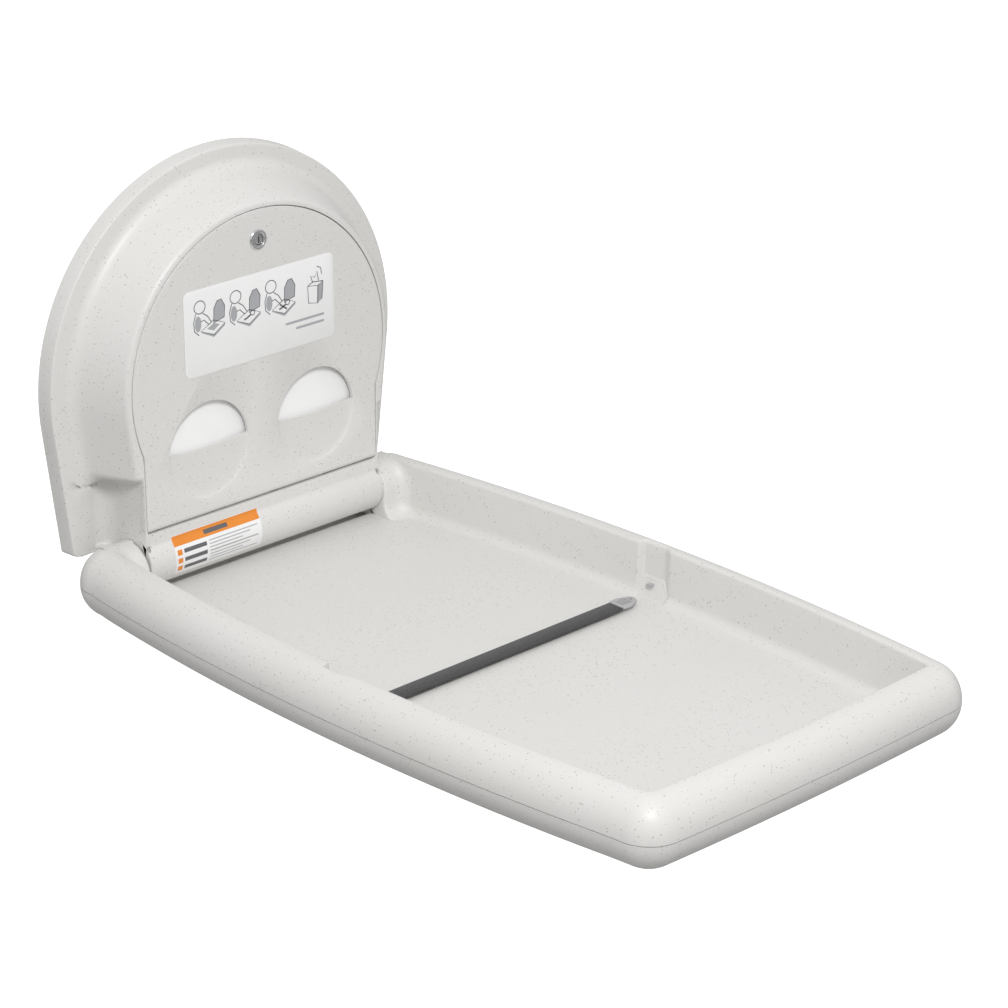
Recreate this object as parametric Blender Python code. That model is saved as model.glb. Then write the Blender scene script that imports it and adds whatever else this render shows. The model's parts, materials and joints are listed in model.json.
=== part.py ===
"""Wall-mounted baby changing station with its bed folded down.

Metres, +Z up. The wall is the plane Y = 0 and the bed reaches towards -Y. The origin is the middle
of the steel wall plate's back face. The bed turns about a shaft along X, inside the round roll.
"""

import math

import bmesh
import bpy

# Clearances and walls
GAP = 0.0003  # between pieces that touch
WALL = 0.004  # moulded shells
RUNNING = 0.0015  # between a moving shell and a fixed one

# The fold axis, measured from the origin
AXIS_Y = -0.062
AXIS_Z = -0.210

# Bed, folded down. Heights here are above the fold axis.
BED_HALF_WIDTH = 0.2825
BED_MID_Y = -0.498  # where the bed is widest
BED_BOW = 0.148  # how fast the sides curve in, per metre
BED_REAR_Y = -0.026
BED_FRONT_Y = -0.980
FRONT_BOW = 0.10
BED_CORNER = 0.042
RIM_TOP = 0.035
PARTING = -0.0075
BED_BOTTOM = -0.048
FLOOR_TOP = -0.031
FLOOR_THICK = 0.004
RIM_ROUND = 0.035  # width of the rim's outer rounding
RIM_WIDTH = 0.039  # rim's outer face to the tray wall, in the front part
REAR_STEP = 0.004  # how much further in the rear part's walls stand
BASE_ROUND = 0.040  # width of the lower shell's rounding
TRAY_DRAFT = 0.003
TRAY_FILLET = 0.012
NOTCH_LENGTH = 0.034  # strap notch in both tray walls
NOTCH_DEPTH = 0.006
NOTCH_WALL = 0.004
NOTCH_TOP = 0.030  # top of the wall behind the notch
REAR_OPENING = 0.050  # how far in front of the axis the tray is open at floor level
CHEEK_ROUND = 0.0355  # rear walls beside the roll are round about the fold axis
CHEEK_LENGTH = 0.045
CHEEK_FILLET = 0.018

# Housing. Heights are above the fold axis.
BACK_THICK = 0.022
BACK_RADIUS = 0.2614
BACK_CENTRE = 0.200
BACK_BOTTOM = 0.008
SIDE_TAPER = math.radians(7.0)
BODY_FRONT_Y = -0.087
BODY_CENTRE = 0.2066
BODY_BASE_RADIUS = 0.228
BODY_FRONT_RADIUS = 0.200
BODY_BASE_BOTTOM = 0.100
BODY_FRONT_BOTTOM = 0.113
LOWER_HALF_WIDTH = 0.181
ROLL_RADIUS = 0.034

# Liner door
DOOR_RADIUS = 0.1917
DOOR_HALF_WIDTH = 0.178
DOOR_BOTTOM = 0.040
DOOR_GAP = 0.0012
DOOR_THICK = 0.005
WINDOW_X = 0.0825
WINDOW_RADIUS = 0.060
WINDOW_CENTRE = 0.122
WINDOW_LIP = 0.1275
SCOOP_DEPTH = 0.0025
EDGE_ROUND = 0.007  # the door's bottom edge is round about its hinge axis
HINGE_HEIGHT = DOOR_BOTTOM + EDGE_ROUND
HINGE_Y = BODY_FRONT_Y + EDGE_ROUND
LUG_RADIUS = 0.0055
LUG_X = (0.164, 0.175)
HINGE_PIN_RADIUS = 0.0018

# Lock
LOCK_HEIGHT = 0.362
LOCK_RADIUS = 0.0095
LOCK_FACE_RADIUS = 0.0125
LOCK_FACE_THICK = 0.0016
PLUG_RADIUS = 0.006
LOCK_LENGTH = 0.0095
TAIL_RADIUS = 0.0035
CAM_LENGTH = 0.0475
CAM_WIDTH = 0.014
CAM_THICK = 0.0022

# Liner compartment and its papers
TUB_HALF_WIDTH = 0.150
TUB_BOTTOM = 0.064
TUB_TOP = 0.330
TUB_BACK_Y = -0.056
TUB_FRONT_Y = -0.0805
TUB_LIP = 0.010
TUB_WALL = 0.0025
TUB_CHAMFER = 0.085
PAPER_WIDTH = 0.141
PAPER_HEIGHT = 0.145
PAPER_BACK_GAP = 0.0005
PAPER_FRONT_Y = -0.0785

# Steel wall plate and its hinge brackets
PLATE_HALF_WIDTH = 0.160
PLATE_BOTTOM = 0.040
PLATE_TOP = 0.380
PLATE_THICK = 0.003
BRACKET_X = 0.140
BRACKET_THICK = 0.004
BRACKET_EYE = 0.016
BOLT_X = 0.120
BOLT_HEIGHTS = (0.090, 0.330)
BOLT_RADIUS = 0.004
BOLT_HEAD_RADIUS = 0.0075
BOLT_HEAD_THICK = 0.005
STANDOFFS = ((0.095, 0.100), (0.055, 0.300))  # X and height, on both sides
STANDOFF_RADIUS = 0.006
STUD_RADIUS = 0.0025

# Pivot shaft, its bearings and the steel arms in the bed
SHAFT_RADIUS = 0.008
BUSH_WALL = 0.003
BUSH_LENGTH = 0.010
SHAFT_END_X = 0.246
ARM_X = 0.236
ARM_THICK = 0.006
ARM_HALF_HEIGHT = 0.013
ARM_REACH = 0.200
CLIP_RADIUS = 0.012
CLIP_THICK = 0.0015

# Crank and gas spring
CRANK_X = 0.040
CRANK_RADIUS = 0.020
CRANK_THICK = 0.006
CRANK_PIN_RADIUS = 0.0025
ROD_X = 0.050
ROD_RADIUS = 0.004
ROD_Y = AXIS_Y + CRANK_RADIUS * (1 + math.sqrt(0.5)) / 2
CYLINDER_RADIUS = 0.0085
CYLINDER_BOTTOM = 0.075
CYLINDER_TOP = 0.235
ROD_INSERT = 0.045
EYE_WALL = 0.0018
EYE_THICK = 0.005
EYE_CLEARANCE = 0.0011
EYE_SLOT_HALF = CRANK_RADIUS * (1 - math.sqrt(0.5)) / 2  # half the slot's straight part
UPPER_PIN_RADIUS = 0.003

# Strap
STRAP_WIDTH = 0.024
STRAP_THICK = 0.0016
STRAP_END_X = 0.184
TONGUE_LENGTH = 0.030
TONGUE_THICK = 0.003
ANCHOR_RADIUS = 0.003
LOOP_RADIUS = ANCHOR_RADIUS + GAP + STRAP_THICK
NOTCH_X = BED_HALF_WIDTH - RIM_WIDTH + NOTCH_DEPTH  # outer wall of the notch
ANCHOR_X = -(NOTCH_X - LOOP_RADIUS - 0.0006)
ANCHOR_HEIGHT = FLOOR_TOP + GAP + LOOP_RADIUS

# Labels
LABEL_HALF_WIDTH = 0.114
LABEL_BOTTOM = 0.216
LABEL_TOP = 0.322
LABEL_THICK = 0.0004
CARE_X = (-0.145, -0.014)
CARE_ANGLES = (-34.0, 41.0)

ARC_STEPS = 6

BED_SCREWS = [(x, y) for y in (-0.16, -0.50, -0.84) for x in (-0.20, 0.20)]
SCREW_RADIUS = 0.002
SCREW_HEAD_RADIUS = 0.005
SCREW_HEAD_THICK = 0.0025

COLOURS = {
    "shell": ((0.80, 0.80, 0.78, 1), 0.45, 0.0),
    "steel": ((0.62, 0.63, 0.65, 1), 0.35, 1.0),
    "chrome": ((0.82, 0.82, 0.84, 1), 0.12, 1.0),
    "black_steel": ((0.06, 0.06, 0.06, 1), 0.35, 0.6),
    "nylon": ((0.85, 0.84, 0.80, 1), 0.5, 0.0),
    "paper": ((0.93, 0.93, 0.92, 1), 0.9, 0.0),
    "label": ((0.94, 0.94, 0.94, 1), 0.35, 0.0),
    "webbing": ((0.06, 0.06, 0.065, 1), 0.85, 0.0),
    "buckle": ((0.55, 0.56, 0.57, 1), 0.45, 0.0),
}


def clear_scene():
    for old in list(bpy.data.objects):
        bpy.data.objects.remove(old, do_unlink=True)


def finish(name):
    """The material called name, made the first time it is asked for."""
    if name in bpy.data.materials:
        return bpy.data.materials[name]
    colour, roughness, metallic = COLOURS[name]
    made = bpy.data.materials.new(name)
    made.use_nodes = True
    shader = made.node_tree.nodes["Principled BSDF"]
    shader.inputs["Base Color"].default_value = colour
    shader.inputs["Roughness"].default_value = roughness
    shader.inputs["Metallic"].default_value = metallic
    return made


def above(height):
    """World Z of a height above the fold axis."""
    return AXIS_Z + height


def add_object(name, mesh_points, faces, colour, pivot=(0, 0, 0), smooth=False):
    """An object whose origin is pivot and whose points are given in world coordinates."""
    mesh = bpy.data.meshes.new(name)
    local = [(p[0] - pivot[0], p[1] - pivot[1], p[2] - pivot[2]) for p in mesh_points]
    mesh.from_pydata(local, [], faces)
    work = bmesh.new()
    work.from_mesh(mesh)
    bmesh.ops.recalc_face_normals(work, faces=work.faces)
    work.to_mesh(mesh)
    work.free()
    if smooth:
        mesh.shade_smooth()
        mesh.set_sharp_from_angle(angle=math.radians(35))
    made = bpy.data.objects.new(name, mesh)
    made.location = pivot
    bpy.context.collection.objects.link(made)
    if colour:
        mesh.materials.append(finish(colour))
    return made


def ring_faces(ring_count, size, cyclic):
    """Faces between rings of size points; two end caps unless the rings close on themselves."""
    faces = []
    last = ring_count if cyclic else ring_count - 1
    for ring in range(last):
        here = ring * size
        there = ((ring + 1) % ring_count) * size
        for i in range(size):
            j = (i + 1) % size
            faces.append((here + i, here + j, there + j, there + i))
    if not cyclic:
        faces.append(tuple(range(size)))
        faces.append(tuple(range((ring_count - 1) * size, ring_count * size)))
    return faces


def loft(name, rings, colour, pivot=(0, 0, 0), cyclic=False, smooth=True):
    points = [p for ring in rings for p in ring]
    faces = ring_faces(len(rings), len(rings[0]), cyclic)
    return add_object(name, points, faces, colour, pivot, smooth)


def prism(name, outline, axis, start, end, colour, pivot=(0, 0, 0), smooth=False):
    """An outline of (u, v) pairs in the plane across axis, from start to end along it."""
    place = {
        "X": lambda u, v, w: (w, u, v),
        "Y": lambda u, v, w: (u, w, v),
        "Z": lambda u, v, w: (u, v, w),
    }[axis]
    rings = [[place(u, v, w) for u, v in outline] for w in (start, end)]
    return loft(name, rings, colour, pivot, smooth=smooth)


def circle(u, v, radius, steps=24):
    turns = [2 * math.pi * i / steps for i in range(steps)]
    return [(u + radius * math.cos(a), v + radius * math.sin(a)) for a in turns]


def rod(name, axis, centre, radius, start, end, colour, pivot=(0, 0, 0), steps=24):
    outline = circle(centre[0], centre[1], radius, steps)
    return prism(name, outline, axis, start, end, colour, pivot, smooth=True)


def box(name, low, high, colour, pivot=(0, 0, 0)):
    outline = [(low[0], low[1]), (high[0], low[1]), (high[0], high[1]), (low[0], high[1])]
    return prism(name, outline, "Z", low[2], high[2], colour, pivot)


def rounded_box_outline(low, high, radius, steps=4):
    """A rectangle in two coordinates with round corners."""
    points = []
    corners = ((1, 1, 0), (0, 1, 90), (0, 0, 180), (1, 0, 270))
    for right, upper, turn in corners:
        u = high[0] - radius if right else low[0] + radius
        v = high[1] - radius if upper else low[1] + radius
        for i in range(steps + 1):
            a = math.radians(turn + 90 * i / steps)
            points.append((u + radius * math.cos(a), v + radius * math.sin(a)))
    return points


def combine(target, tool, operation):
    """Cuts tool out of target, joins it, or keeps what they share; the tool is a hidden helper."""
    tool.name = f"{target.name}_tool_{len(target.modifiers) + 1}"
    tool.hide_render = True
    tool.display_type = "WIRE"
    change = target.modifiers.new(tool.name, "BOOLEAN")
    change.operation = operation
    change.solver = "EXACT"
    change.object = tool


def cut(target, tool):
    combine(target, tool, "DIFFERENCE")


def join(target, tool):
    combine(target, tool, "UNION")


# ---------------------------------------------------------------- bed outline


def bed_half_width(y):
    return BED_HALF_WIDTH - BED_BOW * (y - BED_MID_Y) ** 2


def side_slope(y):
    return math.atan(-2 * BED_BOW * (y - BED_MID_Y))


def front_edge(x):
    return BED_FRONT_Y + FRONT_BOW * x * x


def front_slope(x):
    return math.atan(2 * FRONT_BOW * x)


def corner_at_front(inset, radius):
    """Centre of the front corner's arc, and the slopes of the side and the front that it joins."""
    x = bed_half_width(BED_FRONT_Y) - inset - radius
    y = BED_FRONT_Y + inset + radius
    for _ in range(12):
        lean = side_slope(y)
        tilt = front_slope(x)
        x = bed_half_width(y) - (inset + radius) * math.cos(lean)
        y = front_edge(x) + (inset + radius) * math.cos(tilt)
    return x, y, lean, tilt


def corner_at_rear(inset, rear_inset, radius):
    y = BED_REAR_Y - rear_inset - radius
    lean = side_slope(y)
    x = bed_half_width(y) - (inset + radius) * math.cos(lean)
    return x, y, lean


def side_inset(y, inset, rear_extra):
    """Inset of a side wall at y; the rear part stands rear_extra further in."""
    rear_end = BED_MID_Y + NOTCH_LENGTH / 2
    share = min(1.0, max(0.0, (y - rear_end) / NOTCH_LENGTH + 1.0))
    return inset + rear_extra * share


def bed_ring(height, inset, rear_inset=None, rear_extra=0.0, corner=BED_CORNER, steps=10):
    """One closed outline of the bed at a height, moved inwards by the insets."""
    rear_inset = inset if rear_inset is None else rear_inset
    fx, fy, front_lean, front_tilt = corner_at_front(inset, corner)
    rx, ry, rear_lean = corner_at_rear(inset + rear_extra, rear_inset, corner)
    half = [(0.0, BED_REAR_Y - rear_inset)]
    for i in range(ARC_STEPS + 1):
        a = math.pi / 2 + (rear_lean - math.pi / 2) * i / ARC_STEPS
        half.append((rx + corner * math.cos(a), ry + corner * math.sin(a)))
    start = half[-1][1]
    end = fy + corner * math.sin(-front_lean)
    marks = [start + (end - start) * i / steps for i in range(1, steps)]
    for y in marks:
        lean = side_slope(y)
        inward = side_inset(y, inset, rear_extra)
        half.append((bed_half_width(y) - inward * math.cos(lean), y))
    last = math.pi / 2 - front_tilt
    for i in range(ARC_STEPS + 1):
        a = front_lean + (last - front_lean) * i / ARC_STEPS
        half.append((fx + corner * math.cos(a), fy - corner * math.sin(a)))
    for i in (2, 1):
        x = fx * i / 3
        half.append((x, front_edge(x) + inset))
    half.append((0.0, BED_FRONT_Y + inset))
    mirrored = [(-x, y) for x, y in reversed(half[1:-1])]
    return [(x, y, above(height)) for x, y in half + mirrored]


def clearance_tools():
    """What the fixed roll and housing need free: a round channel and the space behind it."""
    reach = LOWER_HALF_WIDTH + RUNNING
    channel = ROLL_RADIUS + RUNNING
    deep = ROLL_RADIUS + RUNNING + 0.0005
    round_part = rod("channel", "X", (AXIS_Y, AXIS_Z), channel, -reach, reach, None, steps=48)
    rear = box("rear_space", (-reach, AXIS_Y, above(-deep)), (reach, 0.01, above(0.08)), None)
    mouth_low = (-reach, AXIS_Y - REAR_OPENING, above(FLOOR_TOP))
    mouth = box("rear_mouth", mouth_low, (reach, AXIS_Y + 0.001, above(0.08)), None)
    return round_part, rear, mouth


def bed_side_spaces(target):
    """Space for the shaft and the steel arm in each side of the bed."""
    for side in (-1, 1):
        inner = side * (LOWER_HALF_WIDTH - 0.002)
        outer = side * (SHAFT_END_X + 0.001)
        tunnel = rod("tunnel", "X", (AXIS_Y, AXIS_Z), CLIP_RADIUS + 0.001, inner, outer, None)
        cut(target, tunnel)
        near = side * (ARM_X - 0.001)
        far = side * (ARM_X + ARM_THICK + 0.001)
        tall = ARM_HALF_HEIGHT + 0.001
        low = (min(near, far), AXIS_Y - ARM_REACH - 0.002, above(-tall))
        high = (max(near, far), AXIS_Y + ARM_HALF_HEIGHT + 0.002, above(tall))
        cut(target, box("arm_space", low, high, None))


def rim_rings():
    """The rim from the parting line over its crest and down to the tray floor."""
    rings = []
    for i in range(ARC_STEPS + 1):
        a = math.pi / 2 * i / ARC_STEPS
        inset = RIM_ROUND * (1 - math.cos(a))
        height = PARTING + GAP + (RIM_TOP - PARTING - GAP) * math.sin(a)
        rings.append(bed_ring(height, inset, corner=max(BED_CORNER - inset, 0.010)))
    edge = RIM_WIDTH - RIM_ROUND
    for i in (1, 2, 3):
        a = math.pi / 2 * i / 3
        inset = RIM_ROUND + edge * math.sin(a)
        height = RIM_TOP - edge * (1 - math.cos(a))
        rings.append(bed_ring(height, inset, rear_extra=REAR_STEP * i / 3, corner=0.010))
    for i in range(5):
        a = math.pi / 2 * i / 4
        inset = RIM_WIDTH + TRAY_DRAFT + TRAY_FILLET * (1 - math.cos(a))
        height = FLOOR_TOP + TRAY_FILLET * (1 - math.sin(a))
        rings.append(bed_ring(height, inset, rear_extra=REAR_STEP, corner=0.010))
    return rings


def build_top_shell(pivot):
    basin = RIM_WIDTH + TRAY_DRAFT - WALL
    under = bed_ring(FLOOR_TOP - FLOOR_THICK, basin + TRAY_FILLET / 2, corner=0.010)
    shoulder = bed_ring(PARTING + GAP, basin, corner=0.010)
    shell = loft("bed_top_shell", [under, shoulder] + rim_rings(), "shell", pivot)
    join(shell, build_cheeks())
    cut(shell, build_rim_hollow())
    for side in (-1, 1):
        join(shell, notch_wall(side))
        cut(shell, notch_tool(side))
    for tool in clearance_tools():
        cut(shell, tool)
    bed_side_spaces(shell)
    return shell


def build_cheeks():
    """The rear walls of the tray, round about the fold axis, as one bar that is cut away in the middle."""
    reach = LOWER_HALF_WIDTH + RUNNING + CHEEK_LENGTH
    outline = []
    for i in range(17):
        a = math.pi * i / 16
        outline.append((AXIS_Y + CHEEK_ROUND * math.cos(a), AXIS_Z + CHEEK_ROUND * math.sin(a)))
    foot = FLOOR_TOP - FLOOR_THICK / 2
    for i in range(ARC_STEPS + 1):
        a = -math.pi / 2 * i / ARC_STEPS
        y = AXIS_Y - CHEEK_ROUND - CHEEK_FILLET * (1 - math.cos(a))
        outline.append((y, above(FLOOR_TOP + CHEEK_FILLET * (1 + math.sin(a)))))
    outline.append((AXIS_Y - CHEEK_ROUND - CHEEK_FILLET, above(foot)))
    outline.append((AXIS_Y + 0.010, above(foot)))
    outline.append((AXIS_Y + 0.010, above(PARTING + GAP)))
    outline.append((AXIS_Y + CHEEK_ROUND * 0.95, above(PARTING + GAP)))
    return prism("cheeks", outline, "X", -reach, reach, None)


def build_rim_hollow():
    """The hollow inside the rim, open downwards; it stops short of the rear walls."""
    rings = []
    inner = RIM_WIDTH - WALL
    for height, inset in (
        (PARTING - 0.002, WALL),
        (PARTING + (RIM_TOP - PARTING) * 0.45, WALL * 1.5),
        (PARTING + (RIM_TOP - PARTING) * 0.75, RIM_ROUND * 0.45),
        (RIM_TOP - WALL, RIM_ROUND * 0.8),
        (RIM_TOP - WALL, inner),
        (PARTING - 0.002, inner),
    ):
        corner = max(BED_CORNER - inset, 0.010)
        rings.append(bed_ring(height, inset, corner=corner))
    hollow = loft("rim_hollow", rings, None, cyclic=True)
    reach = LOWER_HALF_WIDTH + RUNNING + CHEEK_LENGTH
    low = (-reach, AXIS_Y - CHEEK_ROUND, above(-0.06))
    cut(hollow, box("hollow_stop", low, (reach, 0.01, above(0.06)), None))
    return hollow


def notch_wall(side):
    """The wall behind and beside a notch, inside the hollow rim."""
    inner = side * (NOTCH_X - NOTCH_DEPTH - 0.002)
    outer = side * (NOTCH_X + NOTCH_WALL)
    half = NOTCH_LENGTH / 2 + NOTCH_WALL
    low = (min(inner, outer), BED_MID_Y - half, above(FLOOR_TOP - FLOOR_THICK))
    high = (max(inner, outer), BED_MID_Y + half, above(NOTCH_TOP))
    return box("notch_wall", low, high, None)


def notch_tool(side):
    y = BED_MID_Y
    inner = side * (NOTCH_X - NOTCH_DEPTH - TRAY_DRAFT - REAR_STEP - TRAY_FILLET - 0.002)
    outer = side * NOTCH_X
    half = NOTCH_LENGTH / 2
    low = (min(inner, outer), y - half, above(FLOOR_TOP))
    high = (max(inner, outer), y + half, above(RIM_TOP + 0.01))
    return box("notch", low, high, None)


def build_bottom_shell(pivot):
    outer = []
    for i in range(ARC_STEPS + 1):
        a = math.pi / 2 * i / ARC_STEPS
        inset = BASE_ROUND * (1 - math.cos(a))
        height = PARTING - GAP - (PARTING - GAP - BED_BOTTOM) * math.sin(a)
        outer.append(bed_ring(height, inset, corner=max(BED_CORNER - inset, 0.010)))
    shell = loft("bed_bottom_shell", outer, "shell", pivot)
    inner = []
    depth = PARTING - BED_BOTTOM - WALL
    for i in range(ARC_STEPS + 1):
        a = math.pi / 2 * i / ARC_STEPS
        inset = WALL + BASE_ROUND * (1 - math.cos(a))
        height = PARTING - depth * math.sin(a)
        inner.append(bed_ring(height, inset, corner=max(BED_CORNER - inset, 0.010)))
    inner.insert(0, bed_ring(PARTING + 0.002, WALL, corner=BED_CORNER - WALL))
    hollow = loft("base_hollow", inner, None)
    reach = LOWER_HALF_WIDTH + RUNNING + CHEEK_LENGTH
    low = (-reach, AXIS_Y - CHEEK_ROUND - WALL, above(-0.08))
    cut(hollow, box("base_stop", low, (reach, 0.01, above(0.02)), None))
    cut(shell, hollow)
    lowered = above(FLOOR_TOP - FLOOR_THICK - 0.001)
    relief_y = AXIS_Y - CHEEK_ROUND - 0.004
    cut(shell, box("floor_relief", (-reach, relief_y - 0.01, lowered), (reach, AXIS_Y + 0.012, 0), None))
    for tool in clearance_tools():
        cut(shell, tool)
    bed_side_spaces(shell)
    for x, y in BED_SCREWS:
        radius = SCREW_RADIUS + GAP
        cut(shell, rod("hole", "Z", (x, y), radius, above(BED_BOTTOM - 0.002), above(-0.042), None, steps=12))
        head = SCREW_HEAD_RADIUS + GAP
        top = above(BED_BOTTOM + SCREW_HEAD_THICK * 0.6)
        cut(shell, rod("sink", "Z", (x, y), head, above(BED_BOTTOM - 0.002), top, None, steps=16))
    return shell


def build_bed_screws(pivot):
    for number, (x, y) in enumerate(BED_SCREWS, 1):
        seat = above(BED_BOTTOM + SCREW_HEAD_THICK * 0.6) - GAP
        low = seat - SCREW_HEAD_THICK * 0.6
        tip = above(FLOOR_TOP - FLOOR_THICK) - GAP
        screw = rod(f"bed_screw_{number}", "Z", (x, y), SCREW_HEAD_RADIUS, low, seat, "steel", pivot, 16)
        shank = rod("shank", "Z", (x, y), SCREW_RADIUS, seat - 0.0005, tip, None, steps=12)
        join(screw, shank)
        slot = box("slot", (x - 0.003, y - 0.0005, low - 0.001), (x + 0.003, y + 0.0005, low + 0.0007), None)
        cut(screw, slot)


# ---------------------------------------------------------------- housing


def arch_outline(radius, centre, bottom, taper=SIDE_TAPER, steps=28):
    """A round arch whose sides run down tangentially, drawing in towards the bottom."""
    points = []
    for i in range(steps + 1):
        a = -taper + (math.pi + 2 * taper) * i / steps
        points.append((radius * math.cos(a), centre + radius * math.sin(a)))
    foot = radius * math.cos(taper) - math.tan(taper) * (centre - radius * math.sin(taper) - bottom)
    points.append((-foot, bottom))
    points.append((foot, bottom))
    return points


def arch_ring(y, radius, centre, bottom):
    return [(x, y, above(h)) for x, h in arch_outline(radius, centre, bottom)]


def door_outline(grow, steps=28):
    """A circle cut by the two straight sides of the lower part."""
    radius = DOOR_RADIUS + grow
    half = DOOR_HALF_WIDTH + grow
    start = -math.acos(half / radius)
    points = []
    for i in range(steps + 1):
        a = start + (math.pi - 2 * start) * i / steps
        points.append((radius * math.cos(a), above(BODY_CENTRE + radius * math.sin(a))))
    points.append((-half, above(DOOR_BOTTOM - grow)))
    points.append((half, above(DOOR_BOTTOM - grow)))
    return points


def back_slab(name, inset, front_y, colour):
    rings = [arch_ring(0.0, BACK_RADIUS - inset, BACK_CENTRE, BACK_BOTTOM + inset)]
    if inset:
        rings[0] = arch_ring(0.002, BACK_RADIUS - inset, BACK_CENTRE, BACK_BOTTOM + inset)
    edge = 0.003
    rings.append(arch_ring(front_y + edge, BACK_RADIUS - inset - 0.003, BACK_CENTRE, BACK_BOTTOM + inset))
    rings.append(arch_ring(front_y + edge * 0.3, BACK_RADIUS - inset - 0.004, BACK_CENTRE, BACK_BOTTOM + inset + 0.001))
    rings.append(arch_ring(front_y, BACK_RADIUS - inset - 0.006, BACK_CENTRE, BACK_BOTTOM + inset + 0.003))
    return loft(name, rings, colour)


def raised_body(name, inset, front_y):
    back = -BACK_THICK + 0.010
    rings = [arch_ring(back, BODY_BASE_RADIUS - inset, BODY_CENTRE, BODY_BASE_BOTTOM + inset)]
    rings.append(arch_ring(-BACK_THICK, BODY_BASE_RADIUS - inset, BODY_CENTRE, BODY_BASE_BOTTOM + inset))
    edge = 0.005
    front = BODY_FRONT_RADIUS - inset
    rings.append(arch_ring(front_y + edge, front + 0.001, BODY_CENTRE, BODY_FRONT_BOTTOM + inset - 0.001))
    rings.append(arch_ring(front_y + edge * 0.3, front - 0.001, BODY_CENTRE, BODY_FRONT_BOTTOM + inset + 0.001))
    rings.append(arch_ring(front_y, front - edge + 0.001, BODY_CENTRE, BODY_FRONT_BOTTOM + inset + edge))
    return loft(name, rings, None)


def lower_body(name, inset, front_y):
    half = LOWER_HALF_WIDTH - inset
    corner = 0.003
    outline = [
        (-half, -0.010), (-half, front_y + corner), (-half + corner, front_y),
        (half - corner, front_y), (half, front_y + corner), (half, -0.010),
    ]
    return prism(name, outline, "Z", above(BACK_BOTTOM + inset), above(BODY_FRONT_BOTTOM + 0.02), None)


def roll(name, inset):
    half = LOWER_HALF_WIDTH - inset
    return rod(name, "X", (AXIS_Y, AXIS_Z), ROLL_RADIUS - inset, -half, half, None, steps=40)


def build_housing():
    shell = back_slab("housing_shell", 0.0, -BACK_THICK, "shell")
    join(shell, raised_body("body", 0.0, BODY_FRONT_Y))
    join(shell, lower_body("lower", 0.0, BODY_FRONT_Y))
    join(shell, roll("roll", 0.0))
    cut(shell, back_slab("back_hollow", WALL, -BACK_THICK + WALL, None))
    cut(shell, raised_body("body_hollow", WALL, BODY_FRONT_Y + WALL))
    cut(shell, lower_body("lower_hollow", WALL, BODY_FRONT_Y + WALL))
    cut(shell, roll("roll_hollow", WALL))
    for side in (-1, 1):
        ends = sorted((side * (DOOR_HALF_WIDTH - 0.006), side * (DOOR_HALF_WIDTH + 2 * GAP)))
        low = (ends[0], BODY_FRONT_Y + WALL / 2, above(DOOR_BOTTOM - DOOR_GAP / 2))
        high = (ends[1], HINGE_Y + 2 * EDGE_ROUND, above(HINGE_HEIGHT + 2 * EDGE_ROUND))
        cut(shell, box("door_sweep", low, high, None))
    opening = door_outline(DOOR_GAP)
    back = BODY_FRONT_Y + max(WALL + 0.001, DOOR_THICK)
    cut(shell, prism("door_opening", opening, "Y", BODY_FRONT_Y - 0.002, back, None))
    keeper_low = (-0.015, BODY_FRONT_Y + WALL - 0.001, above(BODY_CENTRE + DOOR_RADIUS + DOOR_GAP + 0.001))
    keeper_high = (0.015, lock_cam_front() - GAP, keeper_low[2] + 0.006)
    join(shell, box("keeper", keeper_low, keeper_high, None))
    for x in (-BRACKET_X - BRACKET_THICK / 2, BRACKET_X + BRACKET_THICK / 2):
        low = (x - BRACKET_THICK / 2 - 0.001, AXIS_Y + 0.020, above(-0.004))
        high = (x + BRACKET_THICK / 2 + 0.001, -0.006, above(0.020))
        cut(shell, box("bracket_slot", low, high, None))
    for side in (-1, 1):
        inner = side * (LOWER_HALF_WIDTH - WALL - 0.002)
        outer = side * (LOWER_HALF_WIDTH + 0.002)
        radius = HINGE_PIN_RADIUS + GAP
        cut(shell, rod("pin_hole", "X", (HINGE_Y, above(HINGE_HEIGHT)), radius, inner, outer, None, steps=16))
    hole = SHAFT_RADIUS + RUNNING
    cut(shell, rod("shaft_hole", "X", (AXIS_Y, AXIS_Z), hole, -LOWER_HALF_WIDTH - 0.01, LOWER_HALF_WIDTH + 0.01, None))
    return shell


def build_chassis():
    """The steel wall plate with a hinge bracket folded forward at each side."""
    low = (-PLATE_HALF_WIDTH, -PLATE_THICK, above(PLATE_BOTTOM))
    plate = box("wall_chassis", low, (PLATE_HALF_WIDTH, 0.0, above(PLATE_TOP)), "steel")
    for side in (-1, 1):
        outline = bracket_outline()
        start = side * BRACKET_X
        end = side * (BRACKET_X + BRACKET_THICK)
        join(plate, prism("bracket", outline, "X", start, end, None))
    for side in (-1, 1):
        start = side * (BRACKET_X - 0.002)
        end = side * (BRACKET_X + BRACKET_THICK + 0.002)
        bore = SHAFT_RADIUS + BUSH_WALL + GAP
        cut(plate, rod("bore", "X", (AXIS_Y, AXIS_Z), bore, start, end, None))
        for height in BOLT_HEIGHTS:
            cut(plate, rod("hole", "Y", (side * BOLT_X, above(height)), BOLT_RADIUS + GAP, -0.01, 0.01, None, steps=16))
        for x, height in STANDOFFS:
            cut(plate, rod("hole", "Y", (side * x, above(height)), STUD_RADIUS + GAP, -0.01, 0.01, None, steps=16))
    add_spring_ears(plate)
    return plate


def bracket_outline():
    """Side view of a hinge bracket: a gusset from the plate that ends in a round eye."""
    points = [(-PLATE_THICK / 2, above(PLATE_BOTTOM + 0.090)), (-PLATE_THICK / 2, above(PLATE_BOTTOM))]
    for i in range(11):
        a = math.radians(-50 - 190 * i / 10)
        points.append((AXIS_Y + BRACKET_EYE * math.cos(a), AXIS_Z + BRACKET_EYE * math.sin(a)))
    return points


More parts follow.
